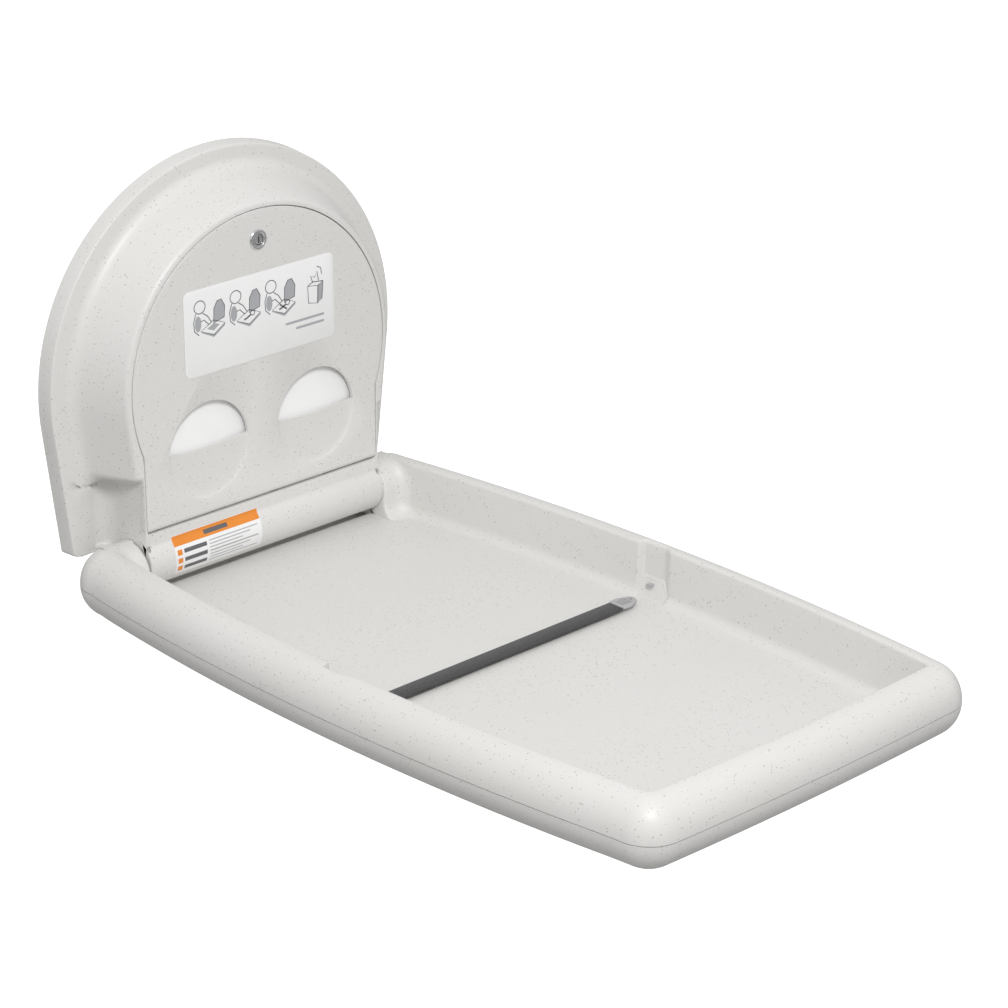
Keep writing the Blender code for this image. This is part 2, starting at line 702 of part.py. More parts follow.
def tube(name, axis, centre, outer, inner, start, end, colour, pivot=(0, 0, 0), steps=24):
    made = rod(name, axis, centre, outer, start, end, colour, pivot, steps)
    low, high = min(start, end), max(start, end)
    cut(made, rod("bore", axis, centre, inner, low - 0.002, high + 0.002, None, steps=steps))
    return made


def build_fixed_hardware():
    for side, word in ((-1, "left"), (1, "right")):
        start = side * (BRACKET_X - 0.003)
        end = side * (BRACKET_X - 0.003 + BUSH_LENGTH)
        outer = SHAFT_RADIUS + BUSH_WALL
        tube(f"bushing_{word}", "X", (AXIS_Y, AXIS_Z), outer, SHAFT_RADIUS + GAP / 3, start, end, "nylon")
    number = 0
    for height in BOLT_HEIGHTS:
        for side in (-1, 1):
            number += 1
            place = (side * BOLT_X, above(height))
            under = -PLATE_THICK - GAP
            bolt = prism(f"wall_bolt_{number}", circle(*place, BOLT_HEAD_RADIUS, 6), "Y",
                         under - BOLT_HEAD_THICK, under, "steel")
            join(bolt, rod("shank", "Y", place, BOLT_RADIUS, under - 0.001, 0.0, None, steps=16))
    number = 0
    for x, height in STANDOFFS:
        for side in (-1, 1):
            number += 1
            place = (side * x, above(height))
            far = TUB_BACK_Y + GAP
            tube(f"standoff_{number}", "Y", place, STANDOFF_RADIUS, STUD_RADIUS + GAP, far, -PLATE_THICK - GAP, "steel", steps=16)
            seat = TUB_BACK_Y - TUB_WALL - GAP
            screw = rod(f"compartment_screw_{number}", "Y", place, 0.0055, seat - 0.003, seat, "steel", steps=16)
            join(screw, rod("shank", "Y", place, STUD_RADIUS, seat - 0.001, -0.0005, None, steps=12))


def build_compartment():
    """The tub behind the door, with a lip all round its mouth."""
    tub = prism("liner_compartment", tub_outline(TUB_LIP), "Y", TUB_FRONT_Y, TUB_FRONT_Y + TUB_WALL, "nylon")
    join(tub, prism("box", tub_outline(0.0), "Y", TUB_FRONT_Y + TUB_WALL / 2, TUB_BACK_Y, None))
    cut(tub, prism("inside", tub_outline(-TUB_WALL), "Y", TUB_FRONT_Y - 0.002, TUB_BACK_Y - TUB_WALL, None))
    for x, height in STANDOFFS:
        for side in (-1, 1):
            place = (side * x, above(height))
            cut(tub, rod("hole", "Y", place, STUD_RADIUS + GAP, TUB_BACK_Y - 0.01, TUB_BACK_Y + 0.01, None, steps=12))
    return tub


def tub_outline(grow):
    """A rectangle whose upper corners follow the arch."""
    half = TUB_HALF_WIDTH + grow
    chamfer = TUB_CHAMFER
    low = above(TUB_BOTTOM - grow)
    high = above(TUB_TOP + grow)
    ease = grow * 0.41
    return [
        (half, low), (half, high - chamfer - ease), (half - chamfer - ease, high),
        (-half + chamfer + ease, high), (-half, high - chamfer - ease), (-half, low),
    ]


def build_papers():
    for side, word in ((-1, "left"), (1, "right")):
        middle = side * (PAPER_WIDTH / 2 + 0.004)
        low = (middle - PAPER_WIDTH / 2, PAPER_FRONT_Y, above(TUB_BOTTOM + TUB_WALL) + GAP)
        back = TUB_BACK_Y - TUB_WALL - PAPER_BACK_GAP
        high = (middle + PAPER_WIDTH / 2, back, above(TUB_BOTTOM + TUB_WALL + PAPER_HEIGHT))
        stack = box(f"paper_liners_{word}", low, high, "paper")
        place = (side * STANDOFFS[0][0], above(STANDOFFS[0][1]))
        cut(stack, rod("relief", "Y", place, 0.0065, back - 0.006, back + 0.002, None, steps=12))


# ---------------------------------------------------------------- liner door


def build_door(pivot):
    back = BODY_FRONT_Y + DOOR_THICK
    door = prism("liner_door", door_outline(0.0), "Y", BODY_FRONT_Y, back, "shell", pivot, smooth=True)
    cut(door, bottom_edge_tool())
    for side in (-1, 1):
        cut(door, prism("window", window_outline(side), "Y", BODY_FRONT_Y - 0.002, back + 0.002, None))
        cut(door, scoop_tool(side))
    hole = LOCK_RADIUS + GAP
    cut(door, rod("lock_hole", "Y", (0.0, above(LOCK_HEIGHT)), hole, BODY_FRONT_Y - 0.002, back + 0.002, None))
    for side in (-1, 1):
        inner, outer = (side * x for x in LUG_X)
        place = (HINGE_Y, above(HINGE_HEIGHT))
        join(door, rod("lug", "X", place, LUG_RADIUS, inner, outer, None))
        bore = HINGE_PIN_RADIUS + GAP / 3
        cut(door, rod("lug_bore", "X", place, bore, inner - side * 0.004, outer + side * 0.010, None, steps=16))
    return door


def bottom_edge_tool():
    """What is outside the door's round bottom edge."""
    outline = [(BODY_FRONT_Y - 0.002, above(HINGE_HEIGHT))]
    for i in range(ARC_STEPS + 1):
        a = math.pi + math.pi / 2 * i / ARC_STEPS
        outline.append((HINGE_Y + EDGE_ROUND * math.cos(a), above(HINGE_HEIGHT) + EDGE_ROUND * math.sin(a)))
    outline.append((HINGE_Y, above(DOOR_BOTTOM - 0.002)))
    outline.append((BODY_FRONT_Y - 0.002, above(DOOR_BOTTOM - 0.002)))
    reach = DOOR_HALF_WIDTH + 0.002
    return prism("edge", outline, "X", -reach, reach, None)


def window_outline(side):
    """The part of a circle above the lip, which dips a little in the middle."""
    drop = WINDOW_LIP - WINDOW_CENTRE
    start = math.asin(drop / WINDOW_RADIUS)
    points = []
    for i in range(17):
        a = start + (math.pi - 2 * start) * i / 16
        x = side * WINDOW_X + WINDOW_RADIUS * math.cos(a)
        points.append((x, above(WINDOW_CENTRE + WINDOW_RADIUS * math.sin(a))))
    points.append((side * WINDOW_X - 0.03, above(WINDOW_LIP - 0.002)))
    points.append((side * WINDOW_X + 0.03, above(WINDOW_LIP - 0.002)))
    return points


def scoop_tool(side):
    """A shallow dish below each window, for the fingers."""
    rings = []
    for y, radius in ((-0.001, WINDOW_RADIUS), (0.0, WINDOW_RADIUS), (SCOOP_DEPTH, WINDOW_RADIUS - 0.006)):
        outline = circle(side * WINDOW_X, above(WINDOW_CENTRE), radius, 32)
        limit = above(WINDOW_LIP + 0.003)
        rings.append([(x, BODY_FRONT_Y + y, min(z, limit)) for x, z in outline])
    return loft("scoop", rings, None)


def build_door_hardware(pivot):
    for side, word in ((-1, "left"), (1, "right")):
        start = side * (LUG_X[0] - 0.001)
        end = side * (LOWER_HALF_WIDTH - GAP)
        rod(f"door_hinge_pin_{word}", "X", (HINGE_Y, above(HINGE_HEIGHT)), HINGE_PIN_RADIUS, start, end, "steel", steps=16)
    place = (0.0, above(LOCK_HEIGHT))
    face = BODY_FRONT_Y - GAP
    barrel = rod("lock_barrel", "Y", place, LOCK_FACE_RADIUS, face - LOCK_FACE_THICK, face, "chrome", pivot, 32)
    join(barrel, rod("sleeve", "Y", place, LOCK_RADIUS, face - 0.001, face + LOCK_LENGTH, None))
    cut(barrel, rod("plug_bore", "Y", place, PLUG_RADIUS + GAP / 3, face - 0.01, face + LOCK_LENGTH + 0.01, None))
    back = BODY_FRONT_Y + DOOR_THICK + GAP
    nut = prism("lock_nut", circle(*place, 0.0135, 6), "Y", back, back + 0.003, "steel", pivot)
    cut(nut, rod("nut_bore", "Y", place, LOCK_RADIUS + GAP, back - 0.002, back + 0.006, None))
    label = rounded_box_outline((-LABEL_HALF_WIDTH, above(LABEL_BOTTOM)), (LABEL_HALF_WIDTH, above(LABEL_TOP)), 0.008)
    prism("instruction_label", label, "Y", face - LABEL_THICK, face, "label", pivot)


def lock_cam_front():
    return BODY_FRONT_Y + LOCK_LENGTH


def build_lock(pivot):
    place = (0.0, above(LOCK_HEIGHT))
    face = BODY_FRONT_Y - GAP
    end = face + LOCK_LENGTH
    plug = rod("lock_plug", "Y", place, PLUG_RADIUS, face - LOCK_FACE_THICK, end, "chrome", pivot)
    join(plug, rod("tail", "Y", place, TAIL_RADIUS, end - 0.001, end + CAM_THICK + 0.002, None))
    slot = (0.0008, 0.0045)
    low = (-slot[0], face - LOCK_FACE_THICK - 0.002, place[1] - slot[1])
    high = (slot[0], face - LOCK_FACE_THICK + 0.004, place[1] + slot[1])
    cut(plug, box("keyway", low, high, None))
    start = lock_cam_front()
    half = CAM_WIDTH / 2
    outline = rounded_box_outline((-half, place[1] - half), (CAM_LENGTH - half, place[1] + half), 0.005)
    cam = prism("lock_cam", outline, "Y", start, start + CAM_THICK, "steel", pivot)
    cut(cam, rod("cam_bore", "Y", place, TAIL_RADIUS + GAP / 3, start - 0.002, start + CAM_THICK + 0.002, None))


# ---------------------------------------------------------------- bed hardware


def build_pivot(pivot):
    shaft = rod("pivot_shaft", "X", (AXIS_Y, AXIS_Z), SHAFT_RADIUS, -SHAFT_END_X, SHAFT_END_X, "steel", pivot)
    for side, word in ((-1, "left"), (1, "right")):
        start = side * ARM_X
        end = side * (ARM_X + ARM_THICK)
        outline = rounded_box_outline((AXIS_Y - ARM_REACH, above(-ARM_HALF_HEIGHT)),
                                      (AXIS_Y + ARM_HALF_HEIGHT, above(ARM_HALF_HEIGHT)), 0.006)
        arm = prism(f"hinge_arm_{word}", outline, "X", start, end, "steel", pivot)
        cut(arm, rod("bore", "X", (AXIS_Y, AXIS_Z), SHAFT_RADIUS + GAP, start - side * 0.002, end + side * 0.002, None))
        seat = side * (ARM_X - GAP)
        clip = rod(f"shaft_clip_{word}", "X", (AXIS_Y, AXIS_Z), CLIP_RADIUS, seat - side * CLIP_THICK, seat, "black_steel", pivot)
        cut(clip, rod("bore", "X", (AXIS_Y, AXIS_Z), SHAFT_RADIUS + GAP, seat - side * 0.004, seat + side * 0.002, None))
        gap_low = (min(seat, seat - side * CLIP_THICK) - 0.001, AXIS_Y - 0.02, above(-0.004))
        gap_high = (max(seat, seat - side * CLIP_THICK) + 0.001, AXIS_Y, above(0.004))
        cut(clip, box("mouth", gap_low, gap_high, None))
    return shaft


def crank_pin_place():
    """The pin stands behind and above the axis by 45 degrees with the bed down."""
    reach = CRANK_RADIUS * math.sqrt(0.5)
    return AXIS_Y + reach, AXIS_Z + reach


def build_crank(pivot):
    y, z = crank_pin_place()
    start = CRANK_X
    end = CRANK_X + CRANK_THICK
    lever = rod("crank_lever", "X", (AXIS_Y, AXIS_Z), 0.0125, start, end, "steel", pivot)
    lean = 0.0055 * math.sqrt(0.5)
    web = [(AXIS_Y - lean, AXIS_Z + lean), (AXIS_Y + lean, AXIS_Z - lean), (y + lean, z - lean), (y - lean, z + lean)]
    join(lever, prism("web", web, "X", start + 0.0001, end - 0.0001, None))
    join(lever, rod("tip", "X", (y, z), 0.0058, start, end, None, steps=16))
    cut(lever, rod("bore", "X", (AXIS_Y, AXIS_Z), SHAFT_RADIUS + GAP, start - 0.002, end + 0.002, None))
    cut(lever, rod("pin_bore", "X", (y, z), CRANK_PIN_RADIUS + GAP, start - 0.002, end + 0.002, None, steps=16))
    rod("crank_pin", "X", (y, z), CRANK_PIN_RADIUS, start, ROD_X + EYE_THICK / 2 + 0.002, "steel", pivot, 16)


def spring_eye_height():
    return CYLINDER_TOP + 0.009


def build_gas_spring(pivot):
    place = (ROD_X, ROD_Y)
    bottom = above(CYLINDER_BOTTOM)
    top = above(CYLINDER_TOP)
    eye_z = above(spring_eye_height())
    cylinder = rod("gas_spring_cylinder", "Z", place, CYLINDER_RADIUS, bottom, top, "black_steel")
    low = (ROD_X - 0.003, ROD_Y - 0.007, top - 0.002)
    join(cylinder, box("tab", low, (ROD_X + 0.003, ROD_Y + 0.007, top + 0.016), None))
    inside = bottom + ROD_INSERT + 0.004
    cut(cylinder, rod("rod_bore", "Z", place, ROD_RADIUS + GAP, bottom - 0.002, inside, None, steps=16))
    reach = (ROD_X - 0.0105, ROD_X + 0.0105)
    bore = UPPER_PIN_RADIUS + GAP
    cut(cylinder, rod("eye", "X", (ROD_Y, eye_z), bore, reach[0], reach[1], None, steps=16))
    rod("gas_spring_upper_pin", "X", (ROD_Y, eye_z), UPPER_PIN_RADIUS, reach[0], reach[1], "steel", steps=16)
    build_spring_rod(place, pivot)


def build_spring_rod(place, pivot):
    """The rod, and the eye with the slot that the crank's pin slides in."""
    z = crank_pin_place()[1]
    slot = CRANK_PIN_RADIUS + EYE_CLEARANCE
    tall = slot + EYE_WALL
    top = above(CYLINDER_BOTTOM) + ROD_INSERT
    rod("gas_spring_rod", "Z", place, ROD_RADIUS, z + tall + GAP, top, "chrome", pivot, 16)
    side = (ROD_X - EYE_THICK / 2, ROD_X + EYE_THICK / 2)
    low = (ROD_Y - EYE_SLOT_HALF - tall, z - tall)
    high = (ROD_Y + EYE_SLOT_HALF + tall, z + tall)
    outline = rounded_box_outline(low, high, tall * 0.999, 6)
    eye = prism("gas_spring_eye", outline, "X", side[0], side[1], "steel", pivot)
    low = (ROD_Y - EYE_SLOT_HALF - slot, z - slot)
    high = (ROD_Y + EYE_SLOT_HALF + slot, z + slot)
    outline = rounded_box_outline(low, high, slot * 0.999, 6)
    cut(eye, prism("slot", outline, "X", side[0] - 0.002, side[1] + 0.002, None))


def add_spring_ears(plate):
    """Two ears welded to the wall plate carry the spring's upper pin."""
    eye_z = above(spring_eye_height())
    for side in (-1, 1):
        inner = ROD_X + side * 0.0045
        outer = ROD_X + side * 0.008
        low = (min(inner, outer), ROD_Y - 0.008, eye_z - 0.008)
        high = (max(inner, outer), -PLATE_THICK / 2, eye_z + 0.008)
        join(plate, box("ear", low, high, None))
    bore = UPPER_PIN_RADIUS + GAP
    cut(plate, rod("eye", "X", (ROD_Y, eye_z), bore, ROD_X - 0.012, ROD_X + 0.012, None, steps=16))


# ---------------------------------------------------------------- strap


def build_strap(bed_pivot, strap_pivot, tongue_pivot):
    y = BED_MID_Y
    floor = above(FLOOR_TOP) + GAP
    half = STRAP_WIDTH / 2
    wall = NOTCH_X - GAP
    place = (ANCHOR_X, above(ANCHOR_HEIGHT))
    ends = (y - NOTCH_LENGTH / 2 + GAP, y + NOTCH_LENGTH / 2 - GAP)
    rod("strap_anchor", "Y", place, ANCHOR_RADIUS, ends[0], ends[1], "steel", bed_pivot, 16)
    low = (ANCHOR_X, y - half, floor)
    strap = box("strap_webbing", low, (STRAP_END_X, y + half, floor + STRAP_THICK), "webbing", strap_pivot)
    join(strap, rod("loop", "Y", place, LOOP_RADIUS, y - half, y + half, None))
    cut(strap, rod("loop_bore", "Y", place, ANCHOR_RADIUS + GAP, y - half - 0.002, y + half + 0.002, None))
    low = (wall - 0.004, y - 0.010, floor)
    receiver = box("strap_receiver", low, (wall, y + 0.010, floor + 0.016), "buckle", bed_pivot)
    join(receiver, box("hook", (wall - 0.012, y - 0.004, floor + 0.009), (wall - 0.003, y + 0.004, floor + 0.012), None))
    start = STRAP_END_X + GAP
    tip = start + TONGUE_LENGTH
    outline = [(start, y - half), (start, y + half), (start + 0.012, y + half + 0.001), (tip - 0.008, y + 0.009), (tip, y + 0.005),
               (tip, y - 0.005), (tip - 0.008, y - 0.009), (start + 0.012, y - half - 0.001)]
    tongue = prism("strap_tongue", outline, "Z", floor, floor + TONGUE_THICK, "buckle", tongue_pivot)
    for i in range(4):
        x = start + 0.004 + 0.0035 * i
        cut(tongue, box("slot", (x, y - 0.008, floor - 0.002), (x + 0.0015, y + 0.008, floor + 0.006), None))
    cut(tongue, rod("eye", "Z", (tip - 0.007, y), 0.0022, floor - 0.002, floor + 0.006, None, steps=12))


def build_care_label():
    """A thin sheet wrapped round the front of the roll."""
    inner = ROLL_RADIUS + GAP
    outer = inner + LABEL_THICK
    low, high = (math.radians(a) for a in CARE_ANGLES)
    outline = []
    for radius, order in ((inner, range(13)), (outer, range(12, -1, -1))):
        for i in order:
            a = low + (high - low) * i / 12
            outline.append((AXIS_Y - radius * math.cos(a), AXIS_Z + radius * math.sin(a)))
    prism("care_label", outline, "X", CARE_X[0], CARE_X[1], "label")


def main():
    clear_scene()
    axis = (0.0, AXIS_Y, AXIS_Z)
    door_axis = (0.0, HINGE_Y, above(HINGE_HEIGHT))
    lock_axis = (0.0, BODY_FRONT_Y, above(LOCK_HEIGHT))
    strap_axis = (ANCHOR_X, BED_MID_Y, above(ANCHOR_HEIGHT))
    tongue_axis = (STRAP_END_X, BED_MID_Y, above(FLOOR_TOP) + GAP + TONGUE_THICK / 2)
    build_housing()
    build_chassis()
    build_fixed_hardware()
    build_compartment()
    build_papers()
    build_door(door_axis)
    build_door_hardware(door_axis)
    build_lock(lock_axis)
    build_top_shell(axis)
    build_bottom_shell(axis)
    build_bed_screws(axis)
    build_pivot(axis)
    build_crank(axis)
    build_gas_spring((ROD_X, ROD_Y, AXIS_Z))
    build_strap(axis, strap_axis, tongue_axis)
    build_care_label()


main()
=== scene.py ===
"""A wall-mounted baby changing station with its bed folded down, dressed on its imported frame."""

import json
import logging
import math
from dataclasses import dataclass
from enum import Enum
from typing import Callable, Iterable, Sequence

import bmesh
import bpy
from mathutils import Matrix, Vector


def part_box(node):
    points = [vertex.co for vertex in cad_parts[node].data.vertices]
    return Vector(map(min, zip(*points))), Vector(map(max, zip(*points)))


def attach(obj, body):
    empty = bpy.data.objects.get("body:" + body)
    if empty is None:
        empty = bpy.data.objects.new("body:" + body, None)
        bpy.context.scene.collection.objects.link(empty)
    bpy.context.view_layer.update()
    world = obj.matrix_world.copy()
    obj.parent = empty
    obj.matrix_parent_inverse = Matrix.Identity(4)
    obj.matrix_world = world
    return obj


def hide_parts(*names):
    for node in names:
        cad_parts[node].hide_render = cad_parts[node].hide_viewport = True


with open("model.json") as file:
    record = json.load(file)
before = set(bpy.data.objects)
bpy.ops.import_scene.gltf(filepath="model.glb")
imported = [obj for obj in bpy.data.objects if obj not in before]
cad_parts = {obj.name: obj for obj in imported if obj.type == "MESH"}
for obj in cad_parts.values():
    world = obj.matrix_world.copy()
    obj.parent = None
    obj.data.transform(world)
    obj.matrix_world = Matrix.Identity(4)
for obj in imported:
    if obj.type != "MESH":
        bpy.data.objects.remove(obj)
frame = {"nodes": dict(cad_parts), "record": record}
log = logging.getLogger("changing_station")

Point = tuple[float, float, float]
Flat = tuple[float, float]
Colour = tuple[float, float, float, float]

AXIS_Y = -0.062
AXIS_Z = -0.210


class Body(Enum):
    """The moving groups that pieces ride on."""

    FRAME = "frame"
    DOOR = "door"
    LOCK = "lock"
    BED = "bed"
    STRAP = "strap"
    TONGUE = "tongue"


def above(height: float) -> float:
    """World Z of a height above the fold axis."""
    return AXIS_Z + height


def blend(a: float, b: float, share: float) -> float:
    """A value between a and b."""
    return a + (b - a) * share


def ease(value: float, low: float, high: float) -> float:
    """A soft step from 0 at low to 1 at high.

    Args:
        value: Where to read the step.
        low: Where it starts.
        high: Where it ends.

    Returns:
        A share from 0 to 1.
    """
    t = min(1.0, max(0.0, (value - low) / (high - low)))
    return t * t * (3 - 2 * t)


def bezier(a: Flat, b: Flat, c: Flat, t: float) -> Flat:
    """A point of a quadratic curve from a to c, pulled towards b."""
    u = 1 - t
    return (u * u * a[0] + 2 * u * t * b[0] + t * t * c[0], u * u * a[1] + 2 * u * t * b[1] + t * t * c[1])


# ---------------------------------------------------------------- modelling by operators


def deselect() -> None:
    """Leaves nothing selected."""
    bpy.ops.object.select_all(action="DESELECT")


def only(obj: bpy.types.Object) -> None:
    """Selects obj alone and makes it active."""
    deselect()
    obj.select_set(True)
    bpy.context.view_layer.objects.active = obj


def mend_normals(obj: bpy.types.Object) -> None:
    """Merges doubles and points every face outwards."""
    only(obj)
    bpy.ops.object.mode_set(mode="EDIT")
    bpy.ops.mesh.select_all(action="SELECT")
    bpy.ops.mesh.remove_doubles(threshold=0.00002)
    bpy.ops.mesh.normals_make_consistent(inside=False)
    bpy.ops.object.mode_set(mode="OBJECT")


def soften(obj: bpy.types.Object, degrees: float = 32.0) -> None:
    """Shades obj smooth, apart from edges sharper than the angle."""
    only(obj)
    bpy.ops.object.shade_smooth_by_angle(angle=math.radians(degrees))


def loft(name: str, rings: Sequence[Sequence[Point]], closed: bool = False,
         caps: bool = True) -> bpy.types.Object:
    """A skin through rings of points, made by extruding a circle's edge ring after ring.

    Args:
        name: The piece's name.
        rings: Rings of as many points each.
        closed: True where the last ring joins the first.
        caps: True where both ends are filled.

    Returns:
        The new object, with its place in its mesh.
    """
    deselect()
    bpy.ops.mesh.primitive_circle_add(vertices=len(rings[0]), radius=0.1, fill_type="NOTHING")
    obj = bpy.context.object
    obj.name = name
    bpy.ops.object.mode_set(mode="EDIT")
    mesh = bmesh.from_edit_mesh(obj.data)
    station = mesh.verts.layers.int.new("station")
    level = mesh.verts.layers.int.new("level")
    for number, vert in enumerate(mesh.verts):
        vert[station] = number
        vert.co = rings[0][number]
    bmesh.update_edit_mesh(obj.data)
    bpy.ops.mesh.select_all(action="SELECT")
    for number, ring in enumerate(rings[1:], 1):
        bpy.ops.mesh.extrude_edges_move()
        mesh = bmesh.from_edit_mesh(obj.data)
        station = mesh.verts.layers.int["station"]
        level = mesh.verts.layers.int["level"]
        for vert in mesh.verts:
            if vert.select:
                vert.co = ring[vert[station]]
                vert[level] = number
        bmesh.update_edit_mesh(obj.data)
    ends = (0, len(rings) - 1)
    if closed:
        select_levels(obj, ends)
        bpy.ops.mesh.bridge_edge_loops()
    elif caps:
        for end in ends:
            select_levels(obj, (end,))
            bpy.ops.mesh.edge_face_add()
    bpy.ops.object.mode_set(mode="OBJECT")
    mend_normals(obj)
    return obj


def select_levels(obj: bpy.types.Object, levels: Iterable[int]) -> None:
    """Selects the rings of a loft in edit mode, by their numbers."""
    wanted = set(levels)
    bpy.ops.mesh.select_all(action="DESELECT")
    mesh = bmesh.from_edit_mesh(obj.data)
    level = mesh.verts.layers.int["level"]
    for edge in mesh.edges:
        if len(edge.link_faces) < 2 and all(v[level] in wanted for v in edge.verts):
            edge.select = True
    bmesh.update_edit_mesh(obj.data)


def apply_modifier(obj: bpy.types.Object, kind: str, **settings: object) -> None:
    """Adds a modifier with its settings and applies it."""
    only(obj)
    made = obj.modifiers.new(kind.title(), kind)
    for key, value in settings.items():
        setattr(made, key, value)
    bpy.ops.object.modifier_apply(modifier=made.name)


def carve(obj: bpy.types.Object, tool: bpy.types.Object, operation: str = "DIFFERENCE") -> None:
    """Cuts tool out of obj, or joins it, and removes the tool."""
    apply_modifier(obj, "BOOLEAN", operation=operation, solver="EXACT", object=tool)
    bpy.data.objects.remove(tool, do_unlink=True)


ALONG: dict[str, Callable[[float, float, float], Point]] = {
    "X": lambda u, v, w: (w, u, v),
    "Y": lambda u, v, w: (u, w, v),
    "Z": lambda u, v, w: (u, v, w),
}


def bar(name: str, outline: Sequence[Flat], axis: str, start: float, end: float, round_off: float = 0.0,
        steps: int = 3) -> bpy.types.Object:
    """A straight bar of any outline, with rounded end edges.

    Args:
        name: The piece's name.
        outline: (u, v) pairs across the axis: (y, z) for X, (x, z) for Y, (x, y) for Z.
        axis: "X", "Y" or "Z".
        start: Where it starts along the axis.
        end: Where it ends.
        round_off: Radius of the end edges.
        steps: Rings in each rounding.

    Returns:
        The new object.
    """
    place = ALONG[axis]
    inner = shrink(outline, round_off) if round_off else list(outline)
    sign = 1.0 if end > start else -1.0
    rings: list[list[Point]] = []
    for side, where in ((0, start), (1, end)):
        part = []
        for i in range(steps + 1 if round_off else 1):
            a = math.pi / 2 * i / steps
            share = math.sin(a)
            depth = round_off * (1 - math.cos(a))
            edge = [(blend(n[0], o[0], share), blend(n[1], o[1], share)) for n, o in zip(inner, outline)]
            w = where + sign * depth * (1 if side == 0 else -1)
            part.append([place(u, v, w) for u, v in (edge if round_off else outline)])
        rings += part if side == 0 else part[::-1]
    return loft(name, rings)


def shrink(outline: Sequence[Flat], by: float) -> list[Flat]:
    """The outline moved inwards by a distance, corner by corner."""
    count = len(outline)
    area = sum(outline[i - 1][0] * outline[i][1] - outline[i][0] * outline[i - 1][1] for i in range(count))
    turn = 1.0 if area > 0 else -1.0
    moved = []
    for i in range(count):
        before, here, after = outline[i - 1], outline[i], outline[(i + 1) % count]
        normals = []
        for a, b in ((before, here), (here, after)):
            length = math.hypot(b[0] - a[0], b[1] - a[1]) or 1e-9
            normals.append((-(b[1] - a[1]) / length * turn, (b[0] - a[0]) / length * turn))
        nx, ny = normals[0][0] + normals[1][0], normals[0][1] + normals[1][1]
        size = nx * nx + ny * ny
        scale = 2 * by / size if size > 0.3 else by
        moved.append((here[0] + nx * scale, here[1] + ny * scale))
    return moved


def arc(u: float, v: float, radius: float, start: float, end: float, steps: int) -> list[Flat]:
    """Points along an arc, with both its ends."""
    turns = [start + (end - start) * i / steps for i in range(steps + 1)]
    return [(u + radius * math.cos(a), v + radius * math.sin(a)) for a in turns]


def circle(u: float, v: float, radius: float, steps: int = 48) -> list[Flat]:
    """Points round a circle."""
    return arc(u, v, radius, 0.0, 2 * math.pi, steps)[:-1]


def turned(name: str, axis: str, centre: Flat, profile: Sequence[Flat], steps: int,
           closed: bool = False) -> bpy.types.Object:
    """A round body along an axis, from pairs of a place along it and a radius."""
    place = ALONG[axis]
    rings = [[place(u, v, w) for u, v in circle(*centre, radius, steps)] for w, radius in profile]
    return loft(name, rings, closed)


def rounded(low: Flat, high: Flat, radius: float, steps: int = 6) -> list[Flat]:
    """A rectangle with round corners."""
    points = []
    for right, upper, turn in ((1, 1, 0), (0, 1, 90), (0, 0, 180), (1, 0, 270)):
        u = high[0] - radius if right else low[0] + radius
        v = high[1] - radius if upper else low[1] + radius
        points += arc(u, v, radius, math.radians(turn), math.radians(turn + 90), steps)
    return points


def gather(name: str, parts: Sequence[bpy.types.Object]) -> bpy.types.Object:
    """Joins several objects into the first one."""
    deselect()
    for part in parts:
        part.select_set(True)
    bpy.context.view_layer.objects.active = parts[0]
    bpy.ops.object.join()
    parts[0].name = name
    return parts[0]


# ---------------------------------------------------------------- finishes


class Nodes:
    """Short ways to add nodes to a tree."""

    def __init__(self, tree: bpy.types.NodeTree) -> None:
        """Keeps the tree that nodes go into."""
        self.tree = tree

    def add(self, kind: str, **values: object) -> bpy.types.Node:
        """A node with its properties set, and its inputs where the name is one of them."""
        node = self.tree.nodes.new(kind)
        for key, value in values.items():
            if hasattr(node, key):
                setattr(node, key, value)
            else:
                node.inputs[key.replace("_", " ")].default_value = value
        return node

    def link(self, source: bpy.types.NodeSocket, target: bpy.types.NodeSocket) -> None:
        """Joins two sockets."""
        self.tree.links.new(source, target)

    def math(self, operation: str, a: object, b: object = 0.0) -> bpy.types.NodeSocket:
        """A Math node of two values or sockets."""
        node = self.tree.nodes.new("ShaderNodeMath")
        node.operation = operation
        self.feed(zip(node.inputs, (a, b)))
        return node.outputs[0]

    def steps(self, source: bpy.types.NodeSocket, low: float, high: float,
              out: Flat = (0.0, 1.0)) -> bpy.types.NodeSocket:
        """A clamped range from low..high to out."""
        node = self.tree.nodes.new("ShaderNodeMapRange")
        self.link(source, node.inputs["Value"])
        for key, value in zip(("From Min", "From Max", "To Min", "To Max"), (low, high, *out)):
            node.inputs[key].default_value = value
        return node.outputs[0]

    def mix(self, share: object, a: object, b: object) -> bpy.types.NodeSocket:
        """A colour between a and b."""
        node = self.tree.nodes.new("ShaderNodeMix")
        node.data_type = "RGBA"
        self.feed(zip((node.inputs[0], node.inputs[6], node.inputs[7]), (share, a, b)))
        return node.outputs[2]

    def feed(self, pairs: Iterable[tuple[bpy.types.NodeSocket, object]]) -> None:
        """Links a socket or sets a value on each input."""
        for socket, value in pairs:
            if isinstance(value, bpy.types.NodeSocket):
                self.link(value, socket)
            else:
                socket.default_value = value

    def emboss(self, shader: bpy.types.Node, height: bpy.types.NodeSocket, strength: float,
               distance: float) -> None:
        """Bumps a shader's surface by a height."""
        bump = self.add("ShaderNodeBump", Strength=strength, Distance=distance)
        self.link(height, bump.inputs["Height"])
        self.link(bump.outputs[0], shader.inputs["Normal"])


def start_material(name: str) -> tuple[bpy.types.Material, Nodes, bpy.types.Node]:
    made = bpy.data.materials.new(name)
    made.use_nodes = True
    return made, Nodes(made.node_tree), made.node_tree.nodes["Principled BSDF"]


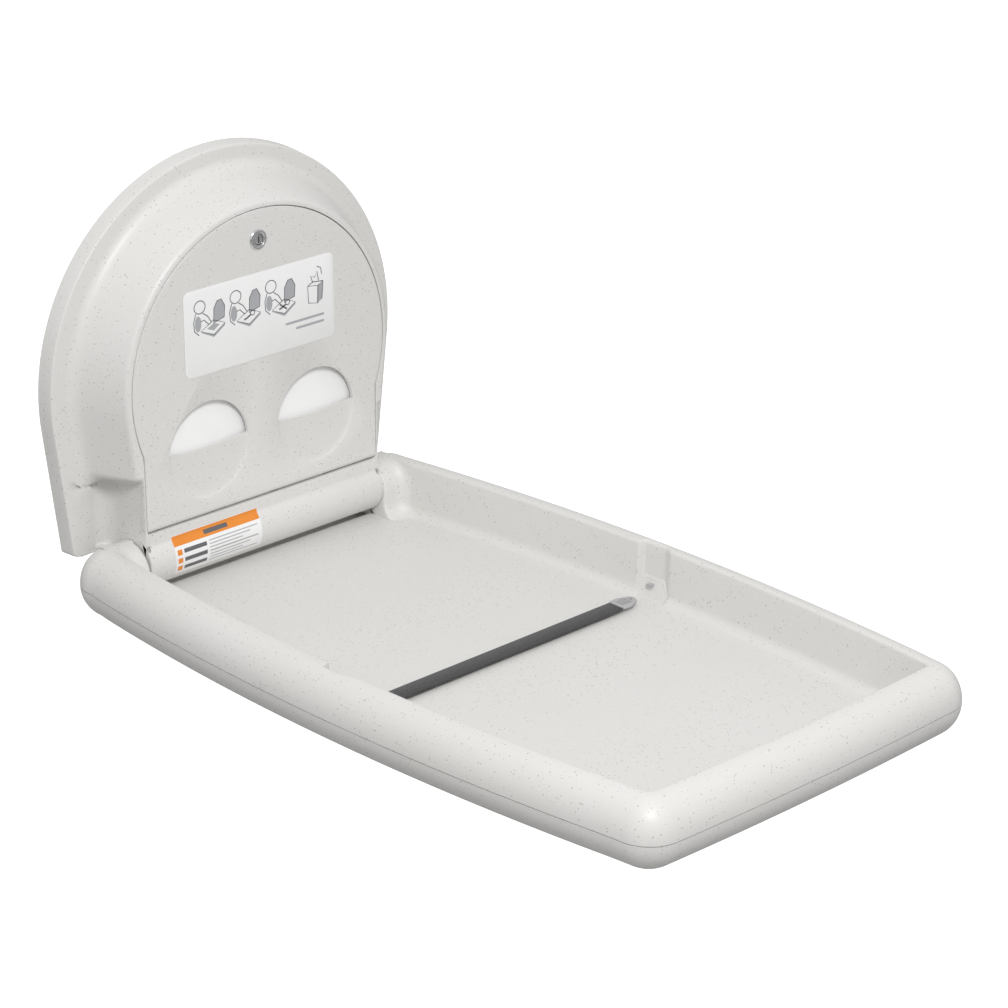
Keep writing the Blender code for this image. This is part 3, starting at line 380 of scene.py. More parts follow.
def fleck_group() -> bpy.types.NodeTree:
    """Small random flecks: gives masks of dark and of light grains, and a fine grain height."""
    if "stone_flecks" in bpy.data.node_groups:
        return bpy.data.node_groups["stone_flecks"]
    tree = bpy.data.node_groups.new("stone_flecks", "ShaderNodeTree")
    for name, default in (("Scale", 420.0), ("Amount", 0.1)):
        tree.interface.new_socket(name, in_out="INPUT", socket_type="NodeSocketFloat").default_value = default
    for name in ("Dark", "Light", "Height"):
        tree.interface.new_socket(name, in_out="OUTPUT", socket_type="NodeSocketFloat")
    kit = Nodes(tree)
    entry, leave = kit.add("NodeGroupInput"), kit.add("NodeGroupOutput")
    place = kit.add("ShaderNodeTexCoord")
    masks = []
    for number, factor in enumerate((1.0, 1.63)):
        cells = kit.add("ShaderNodeTexVoronoi", feature="F1")
        kit.link(place.outputs["Object"], cells.inputs["Vector"])
        kit.link(kit.math("MULTIPLY", entry.outputs["Scale"], factor), cells.inputs["Scale"])
        parts = kit.add("ShaderNodeSeparateColor")
        kit.link(cells.outputs["Color"], parts.inputs[0])
        chosen = kit.math("LESS_THAN", parts.outputs[number], entry.outputs["Amount"])
        size = kit.steps(parts.outputs[2], 0.0, 1.0, (0.16, 0.42))
        inside = kit.math("SUBTRACT", size, cells.outputs["Distance"])
        grain = kit.steps(inside, 0.0, 0.08)
        masks.append(kit.math("MULTIPLY", grain, chosen))
    noise = kit.add("ShaderNodeTexNoise", Scale=900.0, Detail=2.0)
    kit.link(place.outputs["Object"], noise.inputs["Vector"])
    kit.link(masks[0], leave.inputs["Dark"])
    kit.link(masks[1], leave.inputs["Light"])
    kit.link(noise.outputs[0], leave.inputs["Height"])
    return tree


def drift_group() -> bpy.types.NodeTree:
    """Slow variation over a surface, from -1 to 1, for colour and roughness."""
    if "slow_drift" in bpy.data.node_groups:
        return bpy.data.node_groups["slow_drift"]
    tree = bpy.data.node_groups.new("slow_drift", "ShaderNodeTree")
    tree.interface.new_socket("Scale", in_out="INPUT", socket_type="NodeSocketFloat").default_value = 6.0
    tree.interface.new_socket("Drift", in_out="OUTPUT", socket_type="NodeSocketFloat")
    kit = Nodes(tree)
    entry, leave = kit.add("NodeGroupInput"), kit.add("NodeGroupOutput")
    place = kit.add("ShaderNodeTexCoord")
    noise = kit.add("ShaderNodeTexNoise", Detail=3.0)
    kit.link(place.outputs["Object"], noise.inputs["Vector"])
    kit.link(entry.outputs["Scale"], noise.inputs["Scale"])
    kit.link(kit.steps(noise.outputs[0], 0.3, 0.7, (-1.0, 1.0)), leave.inputs["Drift"])
    return tree


@dataclass(frozen=True)
class Speckled:
    """Moulded plastic with stone-like flecks."""

    name: str
    colour: Colour
    dark: Colour = (0.44, 0.425, 0.40, 1.0)
    light: Colour = (0.84, 0.835, 0.82, 1.0)
    amount: float = 0.13
    scale: float = 430.0
    roughness: float = 0.42
    bump: float = 0.06

    def make(self) -> bpy.types.Material:
        """The material, made once."""
        if self.name in bpy.data.materials:
            return bpy.data.materials[self.name]
        made, kit, shader = start_material(self.name)
        flecks = kit.add("ShaderNodeGroup", node_tree=fleck_group())
        flecks.inputs["Scale"].default_value = self.scale
        flecks.inputs["Amount"].default_value = self.amount
        drift = kit.add("ShaderNodeGroup", node_tree=drift_group())
        drift.inputs["Scale"].default_value = 5.0
        warm = tuple(c * f for c, f in zip(self.colour[:3], (0.985, 0.98, 0.97))) + (1.0,)
        base = kit.mix(kit.steps(drift.outputs[0], -1.0, 1.0), self.colour, warm)
        light = kit.mix(flecks.outputs["Light"], base, self.light)
        dark = kit.mix(flecks.outputs["Dark"], light, self.dark)
        kit.link(dark, shader.inputs["Base Color"])
        rough = kit.steps(drift.outputs[0], -1.0, 1.0, (self.roughness - 0.03, self.roughness + 0.03))
        kit.link(rough, shader.inputs["Roughness"])
        kit.emboss(shader, flecks.outputs["Height"], self.bump, 0.0004)
        return made


@dataclass(frozen=True)
class Plain:
    """A plain plastic, film, paint or metal with a fine grain and slow variation."""

    name: str
    colour: Colour
    roughness: float
    metallic: float = 0.0
    grain: float = 700.0
    stretch: Point = (1.0, 1.0, 1.0)
    bump: float = 0.05
    change: float = 0.04

    def make(self) -> bpy.types.Material:
        """The material, made once."""
        if self.name in bpy.data.materials:
            return bpy.data.materials[self.name]
        made, kit, shader = start_material(self.name)
        shader.inputs["Metallic"].default_value = self.metallic
        drift = kit.add("ShaderNodeGroup", node_tree=drift_group())
        drift.inputs["Scale"].default_value = 30.0
        worn = tuple(c * (1 - self.change) for c in self.colour[:3]) + (1.0,)
        base = kit.mix(kit.steps(drift.outputs[0], -1.0, 1.0), self.colour, worn)
        kit.link(base, shader.inputs["Base Color"])
        rough = kit.steps(drift.outputs[0], -1.0, 1.0, (self.roughness * 0.9, self.roughness * 1.1))
        kit.link(rough, shader.inputs["Roughness"])
        place = kit.add("ShaderNodeTexCoord")
        turn = kit.add("ShaderNodeMapping", Scale=self.stretch)
        noise = kit.add("ShaderNodeTexNoise", Scale=self.grain, Detail=2.0)
        kit.link(place.outputs["Object"], turn.inputs["Vector"])
        kit.link(turn.outputs[0], noise.inputs["Vector"])
        kit.emboss(shader, noise.outputs[0], self.bump, 0.0003)
        return made


@dataclass(frozen=True)
class Webbing:
    """Woven nylon strap: ribs across its width, crossed by a fine lengthwise yarn; its hollows are darkened
    with painted shade.
    """

    name: str
    colour: Colour
    rib: float = 0.0016
    yarn: float = 0.0009

    def make(self) -> bpy.types.Material:
        """The material, made once."""
        if self.name in bpy.data.materials:
            return bpy.data.materials[self.name]
        made, kit, shader = start_material(self.name)
        place = kit.add("ShaderNodeTexCoord")
        parts = kit.add("ShaderNodeSeparateXYZ")
        kit.link(place.outputs["Object"], parts.inputs[0])
        along = kit.math("SINE", kit.math("MULTIPLY", parts.outputs[0], 2 * math.pi / self.rib))
        across = kit.math("SINE", kit.math("MULTIPLY", parts.outputs[1], 2 * math.pi / self.yarn))
        weave = kit.math("MULTIPLY", along, across)
        height = kit.math("ADD", kit.math("MULTIPLY", along, 0.6), kit.math("MULTIPLY", weave, 0.4))
        # Painted shade: the weave's hollows take a darker copy of the colour, by the same height that drives
        # the bump.
        painted_weave_shade = kit.steps(height, -1.0, 1.0)
        dark = tuple(c * 0.55 for c in self.colour[:3]) + (1.0,)
        kit.link(kit.mix(painted_weave_shade, dark, self.colour), shader.inputs["Base Color"])
        shader.inputs["Roughness"].default_value = 0.78
        shader.inputs["Sheen Weight"].default_value = 0.25
        kit.emboss(shader, height, 0.7, 0.0004)
        return made


SHELL = Speckled("speckled_shell", (0.735, 0.728, 0.712, 1.0))
STEEL = Plain("zinc_plated_steel", (0.60, 0.61, 0.63, 1.0), 0.34, 1.0, 300.0, (1.0, 1.0, 8.0), 0.08, 0.10)
CHROME = Plain("bright_chrome", (0.78, 0.78, 0.79, 1.0), 0.16, 1.0, 200.0, (1.0, 1.0, 1.0), 0.02, 0.05)
BLACK = Plain("satin_black_steel", (0.03, 0.03, 0.032, 1.0), 0.38, 0.3)
NYLON = Plain("moulded_nylon", (0.70, 0.69, 0.66, 1.0), 0.5)
PAPER = Plain("tissue_paper", (0.93, 0.93, 0.93, 1.0), 0.9, 0.0, 260.0, (1.0, 1.0, 1.0), 0.25, 0.02)
FILM = Plain("label_film", (0.90, 0.90, 0.90, 1.0), 0.32, 0.0, 500.0, (1.0, 1.0, 1.0), 0.02, 0.02)
INK = Plain("grey_ink", (0.13, 0.13, 0.14, 1.0), 0.5)
PALE_INK = Plain("pale_grey_ink", (0.42, 0.43, 0.45, 1.0), 0.5)
ORANGE = Plain("orange_ink", (0.83, 0.27, 0.03, 1.0), 0.4)
WEBBING = Webbing("strap_webbing", (0.022, 0.0225, 0.024, 1.0))
BUCKLE = Plain("grey_buckle_plastic", (0.46, 0.46, 0.47, 1.0), 0.42)
# A black finish for the block in the keyway: painted shade inside the slot.
KEYWAY_SHADE = Plain("painted_keyway_shade", (0.02, 0.02, 0.02, 1.0), 0.6)


def dress(obj: bpy.types.Object, finish: Speckled | Plain | Webbing, body: Body,
          nodes: Sequence[str] = ()) -> bpy.types.Object:
    """Gives a piece its finish and ties it to the frame.

    Args:
        obj: The finished piece.
        finish: Its finish.
        body: What it moves with.
        nodes: The CAD nodes it stands for.

    Returns:
        The same object.
    """
    obj.data.materials.clear()
    obj.data.materials.append(finish.make())
    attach(obj, body.value)
    if nodes:
        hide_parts(*nodes)
    log.info("%s: %d faces", obj.name, len(obj.data.polygons))
    return obj


# ---------------------------------------------------------------- bed


@dataclass
class Bed:
    """The tray that folds down: two moulded shells, the strap and its fixings."""

    half_width: float = 0.2825
    middle: float = -0.498
    bow: float = 0.148
    rear: float = -0.026
    front: float = -0.980
    front_bow: float = 0.10
    corner: float = 0.042
    rim_top: float = 0.035
    parting: float = -0.0075
    bottom: float = -0.048
    floor: float = -0.031
    rim_round: float = 0.035
    rim_width: float = 0.039
    base_round: float = 0.040
    draft: float = 0.003
    skin: float = 0.004
    part_gap: float = 0.0006
    strap_half: float = 0.012
    fillet: float = 0.013
    notch_half: float = 0.017
    channel: float = 0.0355
    reach: float = 0.1825
    cheek: float = 0.0348
    sweep: float = 0.018
    drop: float = 0.0088
    screw_profile: tuple[Flat, ...] = (
        (0.0, 0.0036), (0.0003, 0.0043), (0.0011, 0.0049), (0.0021, 0.0050), (0.0024, 0.0048),
        (0.0024, 0.0021), (0.0028, 0.0020), (0.0090, 0.0020), (0.0100, 0.0012))

    def width(self, y: float) -> float:
        """Half the width at y."""
        return self.half_width - self.bow * (y - self.middle) ** 2

    def sag(self, y: float) -> float:
        """How much lower the bed lies towards the wall than at its front."""
        return self.drop * min(1.0, max(0.0, (y + 0.90) / 0.80))

    def lean(self, y: float) -> float:
        """How far a side's direction leans from Y at y."""
        return math.atan(-2 * self.bow * (y - self.middle))

    def edge(self, x: float) -> float:
        """Y of the front edge at x."""
        return self.front + self.front_bow * x * x

    def step(self, y: float) -> float:
        """How much further in the tray wall stands at y: more behind the notch, less in it."""
        rear = ease(y, self.middle + self.notch_half - 0.001, self.middle + self.notch_half + 0.0022)
        ramp = ease(y, self.middle - self.notch_half - 0.014, self.middle - self.notch_half + 0.002)
        return blend(-0.006 * ramp, 0.004, rear)

    def in_notch(self, y: float) -> float:
        """1 inside the strap notch, 0 outside it."""
        low = ease(y, self.middle - self.notch_half - 0.014, self.middle - self.notch_half)
        high = ease(y, self.middle + self.notch_half - 0.001, self.middle + self.notch_half + 0.0022)
        return low * (1 - high)

    def marks(self, start: float, end: float) -> list[float]:
        """Where the side's stations are, closest together round the notch."""
        near = [0.022, 0.0200, 0.0192, 0.0184, 0.0176, 0.0168, 0.016, 0.014, 0.008, 0.0, -0.008, -0.014,
                -0.017, -0.020, -0.023, -0.026, -0.029, -0.032, -0.036]
        near = [self.middle + m for m in near]
        first = [start + (near[0] - start) * i / 22 for i in range(1, 22)]
        last = [near[-1] + (end - near[-1]) * i / 22 for i in range(1, 22)]
        return first + near + last

    def crown(self, y: float) -> Flat:
        """How far in the rim's outer rounding runs at y, and how much that lowers its top."""
        reach = self.rim_round + min(0.0, self.step(y))
        short = (self.rim_round - reach) / self.rim_round
        return reach, (self.rim_top - self.parting) * (1 - math.sqrt(1 - short * short))

    def ring(self, inset: float, height: float, stepped: float = 0.0, drop: float = 0.0,
             spread: float = 0.0) -> list[Point]:
        """One outline of the bed, moved in from its outer face.

        Args:
            inset: How far in.
            height: Height above the fold axis.
            stepped: How much of the tray wall's step is added, from 0 to 1.
            drop: Share of the floor fillet above its foot, 0 at its foot and 1 at its top.
            spread: Share of the fillet's width that is used up.

        Returns:
            The ring's points, from the middle of the rear edge round the right side.
        """
        radius = max(self.corner - inset, 0.012)
        move = inset + radius
        y = self.rear - move
        lean = self.lean(y)
        rear_step = 0.004 * stepped
        x = self.width(y) - (move + rear_step) * math.cos(lean)
        half: list[tuple[float, float, float]] = [(x * i / 8, self.rear - inset, 0.0) for i in range(8)]
        half += [(u, v, 0.0) for u, v in arc(x, y, radius, math.pi / 2, lean, 12)]
        start = half[-1][1]
        fx, fy = self.width(self.front) - move, self.front + move
        for _ in range(12):
            lean_f, tilt = self.lean(fy), math.atan(2 * self.front_bow * fx)
            fx = self.width(fy) - move * math.cos(lean_f)
            fy = self.edge(fx) + move * math.cos(tilt)
        end = fy - radius * math.sin(lean_f)
        falls: dict[int, float] = {}
        for y in self.marks(start, end):
            inward = inset + self.step(y) * stepped
            lower = 0.0
            reach, fall = self.crown(y)
            if height > self.parting + 0.010 and not stepped and inset > reach:
                inward, lower = reach, max(0.0, height - self.rim_top + fall)
            elif stepped and height > self.floor + self.fillet + 0.004:
                lower = fall
            falls[len(half)] = lower
            half.append((self.width(y) - inward * math.cos(self.lean(y)), y, self.in_notch(y) * stepped))
        half += [(u, v, 0.0) for u, v in arc(fx, fy, radius, -lean_f, tilt - math.pi / 2, 14)]
        half += [(fx * i / 10, self.edge(fx * i / 10) + inset, 0.0) for i in range(9, 0, -1)]
        half.append((0.0, self.front + inset, 0.0))
        full = half + [(-x, y, n) for x, y, n in reversed(half[1:-1])]
        points = []
        for number, (x, y, notch) in enumerate(full):
            fall = falls.get(number, falls.get(len(full) - number, 0.0))
            fillet = blend(self.fillet, 0.0025, notch)
            rise = (self.fillet - fillet) * drop
            shift = (self.fillet - fillet) * spread
            points.append((x + math.copysign(shift, x), y, above(height - rise - fall) - self.sag(y)))
        return points

    def top_shell(self) -> bpy.types.Object:
        """The upper moulding: rim, tray walls and floor."""
        steps, under, base = 16, self.floor - self.skin, self.parting + self.part_gap
        back = ((0.052, under), (0.046, under), (0.036, base), (0.0020, base))
        rings = [self.ring(inset, height) for inset, height in back]
        for i in range(steps + 1):
            a = math.pi / 2 * i / steps
            height = blend(base, self.rim_top, math.sin(a))
            rings.append(self.ring(self.rim_round * (1 - math.cos(a)), height))
        edge = self.rim_width - self.rim_round
        for i in range(6):
            a = math.pi / 2 * i / 5
            height = self.rim_top - edge * (1 - math.cos(a))
            rings.append(self.ring(self.rim_round + 0.0001 + edge * math.sin(a), height, 1.0))
        wall_foot = self.floor + self.fillet
        for i in range(1, 4):
            share = i / 4
            height = blend(self.rim_top - edge, wall_foot, share)
            rings.append(self.ring(self.rim_width + self.draft * share, height, 1.0, share))
        for i in range(9):
            a = math.pi / 2 * i / 8
            inset = self.rim_width + self.draft + self.fillet * (1 - math.cos(a))
            height = self.floor + self.fillet * (1 - math.sin(a))
            rings.append(self.ring(inset, height, 1.0, 1 - math.sin(a), 1 - math.cos(a)))
        rings.append(self.ring(self.rim_width + self.draft + self.fillet + 0.004, self.floor, 1.0, 0.0, 1.0))
        shell = loft("bed_top", rings)
        low, high = (-self.reach, AXIS_Y - 0.055), (self.reach, 0.02)
        floor = self.floor - self.drop
        carve(shell, bar("space", rounded(low, high, 0.0001, 1), "Z", above(floor), above(0.08)))
        self.clear_roll(shell, self.channel)
        shell = gather("bed_top", [shell, self.cheek_block(-1), self.cheek_block(1)])
        soften(shell, 40)
        return dress(shell, SHELL, Body.BED, ["bed_top_shell"])

    def clear_roll(self, shell: bpy.types.Object, radius: float) -> None:
        """Cuts the room for the housing's roll, and for what stands behind it, out of a shell."""
        carve(shell, bar("channel", circle(AXIS_Y, AXIS_Z, radius, 64), "X", -self.reach, self.reach))
        low, high, back = above(-0.038), above(0.05), 0.02
        behind = [(AXIS_Y, low), (back, low), (back, high), (AXIS_Y, high)]
        carve(shell, bar("behind", behind, "X", -self.reach, self.reach))

    def wall_inset(self, height: float) -> float:
        """How far in the tray's side wall stands behind the notch, at a height."""
        edge = self.rim_width - self.rim_round
        foot = self.floor + self.fillet
        if height > self.rim_top - edge:
            rise = min(1.0, (height - self.rim_top + edge) / edge)
            turn = math.sqrt(1 - rise * rise)
            return self.rim_round + (edge + 0.004) * turn
        share = (self.rim_top - edge - height) / (self.rim_top - edge - foot)
        inset = self.rim_width + 0.004 + self.draft * min(1.0, share)
        if height < foot:
            rise = min(1.0, (foot - height) / self.fillet)
            inset += self.fillet * (1 - math.sqrt(1 - rise * rise))
        return inset

    def cheek_profile(self) -> list[tuple[float, float, float, float]]:
        """A cheek's section: distance in front of the axis, height, and its outward direction."""
        fillet = self.sweep
        points = []
        for i in range(9):
            a = math.pi / 2 * i / 8
            d, h = self.cheek + fillet * (1 - math.sin(a)), self.floor + fillet * (1 - math.cos(a))
            points.append((d, h, math.sin(a), math.cos(a)))
        for i in range(17):
            a = math.pi / 2 * i / 16
            points.append((self.cheek * math.cos(a), self.cheek * math.sin(a), math.cos(a), math.sin(a)))
        return points

    def cheek_block(self, side: int) -> bpy.types.Object:
        """The rounded shoulder beside the roll, blended into the side wall and the floor."""
        edge, back = 0.004, AXIS_Y + 0.014
        profile = self.cheek_profile()
        rings: list[list[Point]] = []
        for d, h, nd, nh in [(profile[0][0], profile[0][1] - 0.004, 0.0, 0.0)] + profile:
            front = AXIS_Y - d
            end = front - self.sweep
            wall = self.width(end) - self.wall_inset(max(h, self.floor))
            plan: list[tuple[float, float, float]] = [(self.reach, back, edge)]
            for i in range(6):
                a = math.pi / 2 * i / 5
                plan.append((self.reach + edge * (1 - math.cos(a)), front, edge * (1 - math.sin(a))))
            start = wall - self.sweep
            plan += [(blend(self.reach + edge, start, i / 6), front, 0.0) for i in range(1, 6)]
            plan += [(u, v, 0.0) for u, v in arc(start, end, self.sweep, math.pi / 2, 0.0, 10)]
            plan += [(wall + 0.002, end, 0.0), (wall + 0.002, back, 0.0)]
            ring = []
            for x, y, cut in plan:
                shift = cut * nd if y != back else 0.0
                ring.append((side * x, y + shift, above(h - cut * nh) - self.drop))
            rings.append(ring)
        return loft("cheek", rings)

    def bottom_shell(self) -> bpy.types.Object:
        """The lower moulding, with a shallow panel pressed into its underside."""
        rings = [self.ring(0.030, self.bottom + self.skin)]
        depth = self.parting - self.bottom - self.skin
        for i in range(6, -1, -1):
            a = math.pi / 2 * i / 6
            inset = 0.004 + self.base_round * (1 - math.cos(a)) * 0.6
            rings.append(self.ring(inset, self.parting - depth * math.sin(a)))
        lip = self.parting - self.part_gap
        rings.append(self.ring(0.003, lip))
        steps = 16
        for i in range(steps + 1):
            a = math.pi / 2 * i / steps
            inset = self.base_round * (1 - math.cos(a))
            rings.append(self.ring(inset, lip - (lip - self.bottom) * math.sin(a)))
        panel = ((0.052, 0.0), (0.058, 0.0), (0.0595, 0.0003), (0.0605, 0.0010), (0.062, 0.0013),
                 (0.067, 0.0013))
        for inset, height in panel:
            rings.append(self.ring(inset, self.bottom + height))
        shell = loft("bed_bottom", rings)
        self.clear_roll(shell, self.channel + 0.0005)
        for number in range(1, 7):
            low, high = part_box(f"bed_screw_{number}")
            well = circle((low.x + high.x) / 2, (low.y + high.y) / 2, (high.x - low.x) / 2 + 0.001, 32)
            carve(shell, bar("well", well, "Z", low.z - 0.03, above(self.bottom) - self.sag(low.y) + 0.003))
        soften(shell, 40)
        return dress(shell, SHELL, Body.BED, ["bed_bottom_shell"])

    def screws(self) -> None:
        """Pan-head screws in wells on the underside, each with a cross recess."""
        for number in range(1, 7):
            low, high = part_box(f"bed_screw_{number}")
            x, y = (low.x + high.x) / 2, (low.y + high.y) / 2
            foot = above(self.bottom) - self.sag(y) + 0.0002
            profile = [(foot + z, radius) for z, radius in self.screw_profile]
            screw = turned(f"bed_screw_head_{number}", "Z", (x, y), profile, 32)
            for turn in (0.0, 1.0):
                long, short = blend(0.0026, 0.0005, turn), blend(0.0005, 0.0026, turn)
                cross = [(x + long * u, y + short * v) for u, v in ((-1, -1), (1, -1), (1, 1), (-1, 1))]
                carve(screw, bar("cross", cross, "Z", foot - 0.002, foot + 0.0013))
            soften(screw)
            dress(screw, STEEL, Body.BED, [f"bed_screw_{number}"])

    def strap(self) -> None:
        """The webbing across the tray, coiled round its anchor bar."""
        low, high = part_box("strap_webbing")
        y, half, thick, floor = self.middle, self.strap_half, 0.0016, low.z
        centre = (low.x + 0.0049, floor + 0.0049)
        ends = math.radians(-90), math.radians(-420)
        outline = arc(*centre, 0.0049, *ends, 24) + arc(*centre, 0.0034, *ends, 24)[::-1]
        upper = [(blend(centre[0], high.x, i / 60), floor + thick) for i in range(1, 61)]
        lower = [(blend(centre[0], high.x, i / 60), floor) for i in range(60, 0, -1)]
        strap = bar("strap_band", outline + upper + lower, "Y", y - half, y + half, 0.0004, 2)
        soften(strap, 50)
        dress(strap, WEBBING, Body.STRAP, ["strap_webbing"])

    def tongue(self) -> None:
        """The flat tongue at the strap's end, with four slots and an eye."""
        low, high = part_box("strap_tongue")
        y, half, start, tip = self.middle, self.strap_half, low.x, high.x
        outline = [(start, y - half), (start + 0.012, y - half - 0.001), (tip - 0.010, y - 0.0095)]
        for i in range(13):
            a = math.radians(-60 + 120 * i / 12)
            outline.append((tip - 0.0075 + 0.0075 * math.cos(a), y + 0.0088 * math.sin(a)))
        outline += [(tip - 0.010, y + 0.0095), (start + 0.012, y + half + 0.001), (start, y + half)]
        tongue = bar("strap_tongue_plate", outline, "Z", low.z, high.z, 0.0007, 3)
        for i in range(4):
            x = start + 0.0045 + 0.0042 * i
            slot = rounded((x, y - 0.0075), (x + 0.0017, y + 0.0075), 0.0008, 3)
            carve(tongue, bar("slot", slot, "Z", low.z - 0.002, high.z + 0.002))
        carve(tongue, bar("eye", circle(tip - 0.0065, y, 0.0021, 24), "Z", low.z - 0.002, high.z + 0.002))
        soften(tongue)
        dress(tongue, BUCKLE, Body.TONGUE, ["strap_tongue"])


# ---------------------------------------------------------------- housing


@dataclass
class Housing:
    """The fixed cover on the wall, with the roll that hides the pivot."""

    back_radius: float = 0.2614
    back_centre: float = 0.200
    back_depth: float = 0.022
    bottom: float = 0.008
    taper: float = math.radians(7.0)
    front: float = -0.087
    centre: float = 0.2066
    root_radius: float = 0.2385
    shoulder_radius: float = 0.2232
    shoulder_y: float = -0.0335
    crest_radius: float = 0.2022
    crest_y: float = -0.0815
    face_bottom: float = 0.014
    lower_half: float = 0.181
    roll_radius: float = 0.034
    roll_fillet: float = 0.008
    door_radius: float = 0.1917
    door_half: float = 0.178
    door_bottom: float = 0.040

    def arch(self, radius: float, centre: float, steps: int = 44) -> list[Flat]:
        """The right half of an arch, from its top to where its side starts."""
        points = []
        for i in range(steps + 1):
            a = math.pi / 2 - (math.pi / 2 + self.taper) * i / steps
            points.append((radius * math.cos(a), centre + radius * math.sin(a)))
        return points

    def plain_half(self, radius: float, centre: float, bottom: float) -> list[Flat]:
        """The right half of the back plate's outline, with as many stations as the body's."""
        half = self.arch(radius, centre)
        x, h = half[-1]
        slope = math.tan(self.taper)
        heights, upper = [], h
        for lower, count in ((0.126, 7), (0.100, 10), (0.092, 5), (0.070, 10), (bottom + 0.006, 10)):
            heights += [blend(upper, lower, i / count) for i in range(1, count + 1)]
            upper = lower
        half += [(x - slope * (h - v), v) for v in heights]
        x, h = half[-1]
        radius = h - bottom
        for i in range(1, 6):
            a = -math.pi / 2 * i / 5
            half.append((x - radius * (1 - math.cos(a)), h + radius * math.sin(a)))
        x = half[-1][0]
        half += [(x * (6 - i) / 6, bottom) for i in range(1, 7)]
        return half

    def body_half(self, radius: float, ledge: float, waist: float, bottom: float, out: float,
                  inner: float) -> list[Flat]:
        """The right half of the raised body's outline.

        Args:
            radius: Of its arch.
            ledge: Height of its underside beside the lower part.
            waist: Half the lower part's width.
            bottom: Height of the lower part's bottom.
            out: Radius of the corner under the arch's side.
            inner: Radius of the corner between the underside and the lower part.

        Returns:
            Points from the top of the arch to the middle of the bottom.
        """
        half = self.arch(radius, self.centre)
        x, h = half[-1]
        slope = math.tan(self.taper)
        room = x - slope * (h - ledge) - waist
        out, inner = min(out, 0.55 * room), min(inner, 0.35 * room)
        end = ledge + out
        half += [(x - slope * (h - blend(h, end, i / 7)), blend(h, end, i / 7)) for i in range(1, 8)]
        x, h = half[-1]
        turn = math.pi / 2 - self.taper
        for i in range(1, 11):
            a = -self.taper - turn * i / 10
            across = out * (math.cos(a) - math.cos(self.taper))
            half.append((x + across, h + out * (math.sin(a) + math.sin(self.taper))))
        x, h = half[-1]
        stop = max(waist + inner, waist + 0.002)
        stop = min(stop, x - 0.001)
        inner = stop - waist
        half += [(blend(x, stop, i / 5), h) for i in range(1, 6)]
        for i in range(1, 11):
            a = math.pi / 2 * i / 10
            half.append((stop - inner * math.sin(a), h - inner * (1 - math.cos(a))))
        x, h = half[-1]
        corner = 0.004
        half += [(waist, blend(h, bottom + corner, i / 10)) for i in range(1, 11)]
        for i in range(1, 6):
            a = math.pi / 2 * i / 5
            half.append((waist - corner * (1 - math.cos(a)), bottom + corner * (1 - math.sin(a))))
        x = half[-1][0]
        half += [(x * (6 - i) / 6, bottom) for i in range(1, 7)]
        return half

    def weights(self) -> list[float]:
        """How much each station of a half outline belongs to the recess beside the lower part."""
        values = [0.0] * 45 + [0.0] * 7 + [0.0] * 10
        values += [0.2 * i for i in range(1, 6)] + [1.0] * 10 + [1.0] * 10
        values += [0.8, 0.6, 0.4, 0.2, 0.0] + [0.0] * 6
        return values

    def place(self, half: Sequence[Flat], arch_y: float, waist_y: float) -> list[Point]:
        """A full ring from a half outline, at one depth for the arch and one for the recess."""
        shares = self.weights()
        right = [(x, blend(arch_y, waist_y, s), above(h)) for (x, h), s in zip(half, shares)]
        return right + [(-x, y, z) for x, y, z in reversed(right[1:-1])]

    def opening_half(self, grow: float, count: int) -> list[Flat]:
        """The right half of the door's outline, spread over count stations."""
        radius, side = self.door_radius + grow, self.door_half + grow
        start = -math.acos(side / radius)
        corner = 0.005 + grow
        path: list[Flat] = []
        for i in range(81):
            a = math.pi / 2 + (start - math.pi / 2) * i / 80
            path.append((radius * math.cos(a), self.centre + radius * math.sin(a)))
        low = self.door_bottom - grow
        h = path[-1][1]
        path += [(side, blend(h, low + corner, i / 24)) for i in range(1, 25)]
        for i in range(1, 9):
            a = math.pi / 2 * i / 8
            path.append((side - corner * (1 - math.cos(a)), low + corner * (1 - math.sin(a))))
        path += [((side - corner) * (16 - i) / 16, low) for i in range(1, 17)]
        return self.spread(path, count)

    def spread(self, path: Sequence[Flat], count: int) -> list[Flat]:
        """The path's own points, thinned or filled to count, keeping its shape."""
        lengths = [0.0]
        for a, b in zip(path, path[1:]):
            lengths.append(lengths[-1] + math.hypot(b[0] - a[0], b[1] - a[1]))
        wanted = [lengths[-1] * i / (count - 1) for i in range(count)]
        points, k = [], 0
        for mark in wanted:
            while k < len(path) - 2 and lengths[k + 1] < mark:
                k += 1
            span = lengths[k + 1] - lengths[k] or 1e-9
            share = (mark - lengths[k]) / span
            here, after = path[k], path[k + 1]
            points.append((blend(here[0], after[0], share), blend(here[1], after[1], share)))
        return points

    def cover(self) -> bpy.types.Object:
        """The moulded cover: back plate, raised body and lower part in one skin with a wall."""
        rings = self.plate_rings() + self.root_rings() + self.body_rings()
        front = rings[-1]
        for grow, y, stop in ((0.0016, 0.0, 0.0), (0.0012, 0.0004, 0.0), (0.0012, 0.0056, 0.0),
                              (0.0012, 0.0060, 0.0045)):
            rings.append(self.opening_ring(grow, self.front + y, front, stop))
        cover = loft("housing_cover", rings, caps=False)
        apply_modifier(cover, "SOLIDIFY", thickness=0.003, offset=-1.0, use_even_offset=False)
        soften(cover, 38)
        return dress(cover, SHELL, Body.FRAME, ["housing_shell"])

    def plate_rings(self) -> list[list[Point]]:
        """The back plate's side and its rounded front edge."""
        rings, face = [], -self.back_depth
        for y, inset in ((0.0, 0.0), (-0.010, 0.001), (-0.0200, 0.002), (-0.0212, 0.0024), (-0.0218, 0.0031),
                         (face, 0.0042), (face, 0.0075)):
            half = self.plain_half(self.back_radius - inset, self.back_centre, self.bottom)
            rings.append(self.place(half, y, y))
        return rings

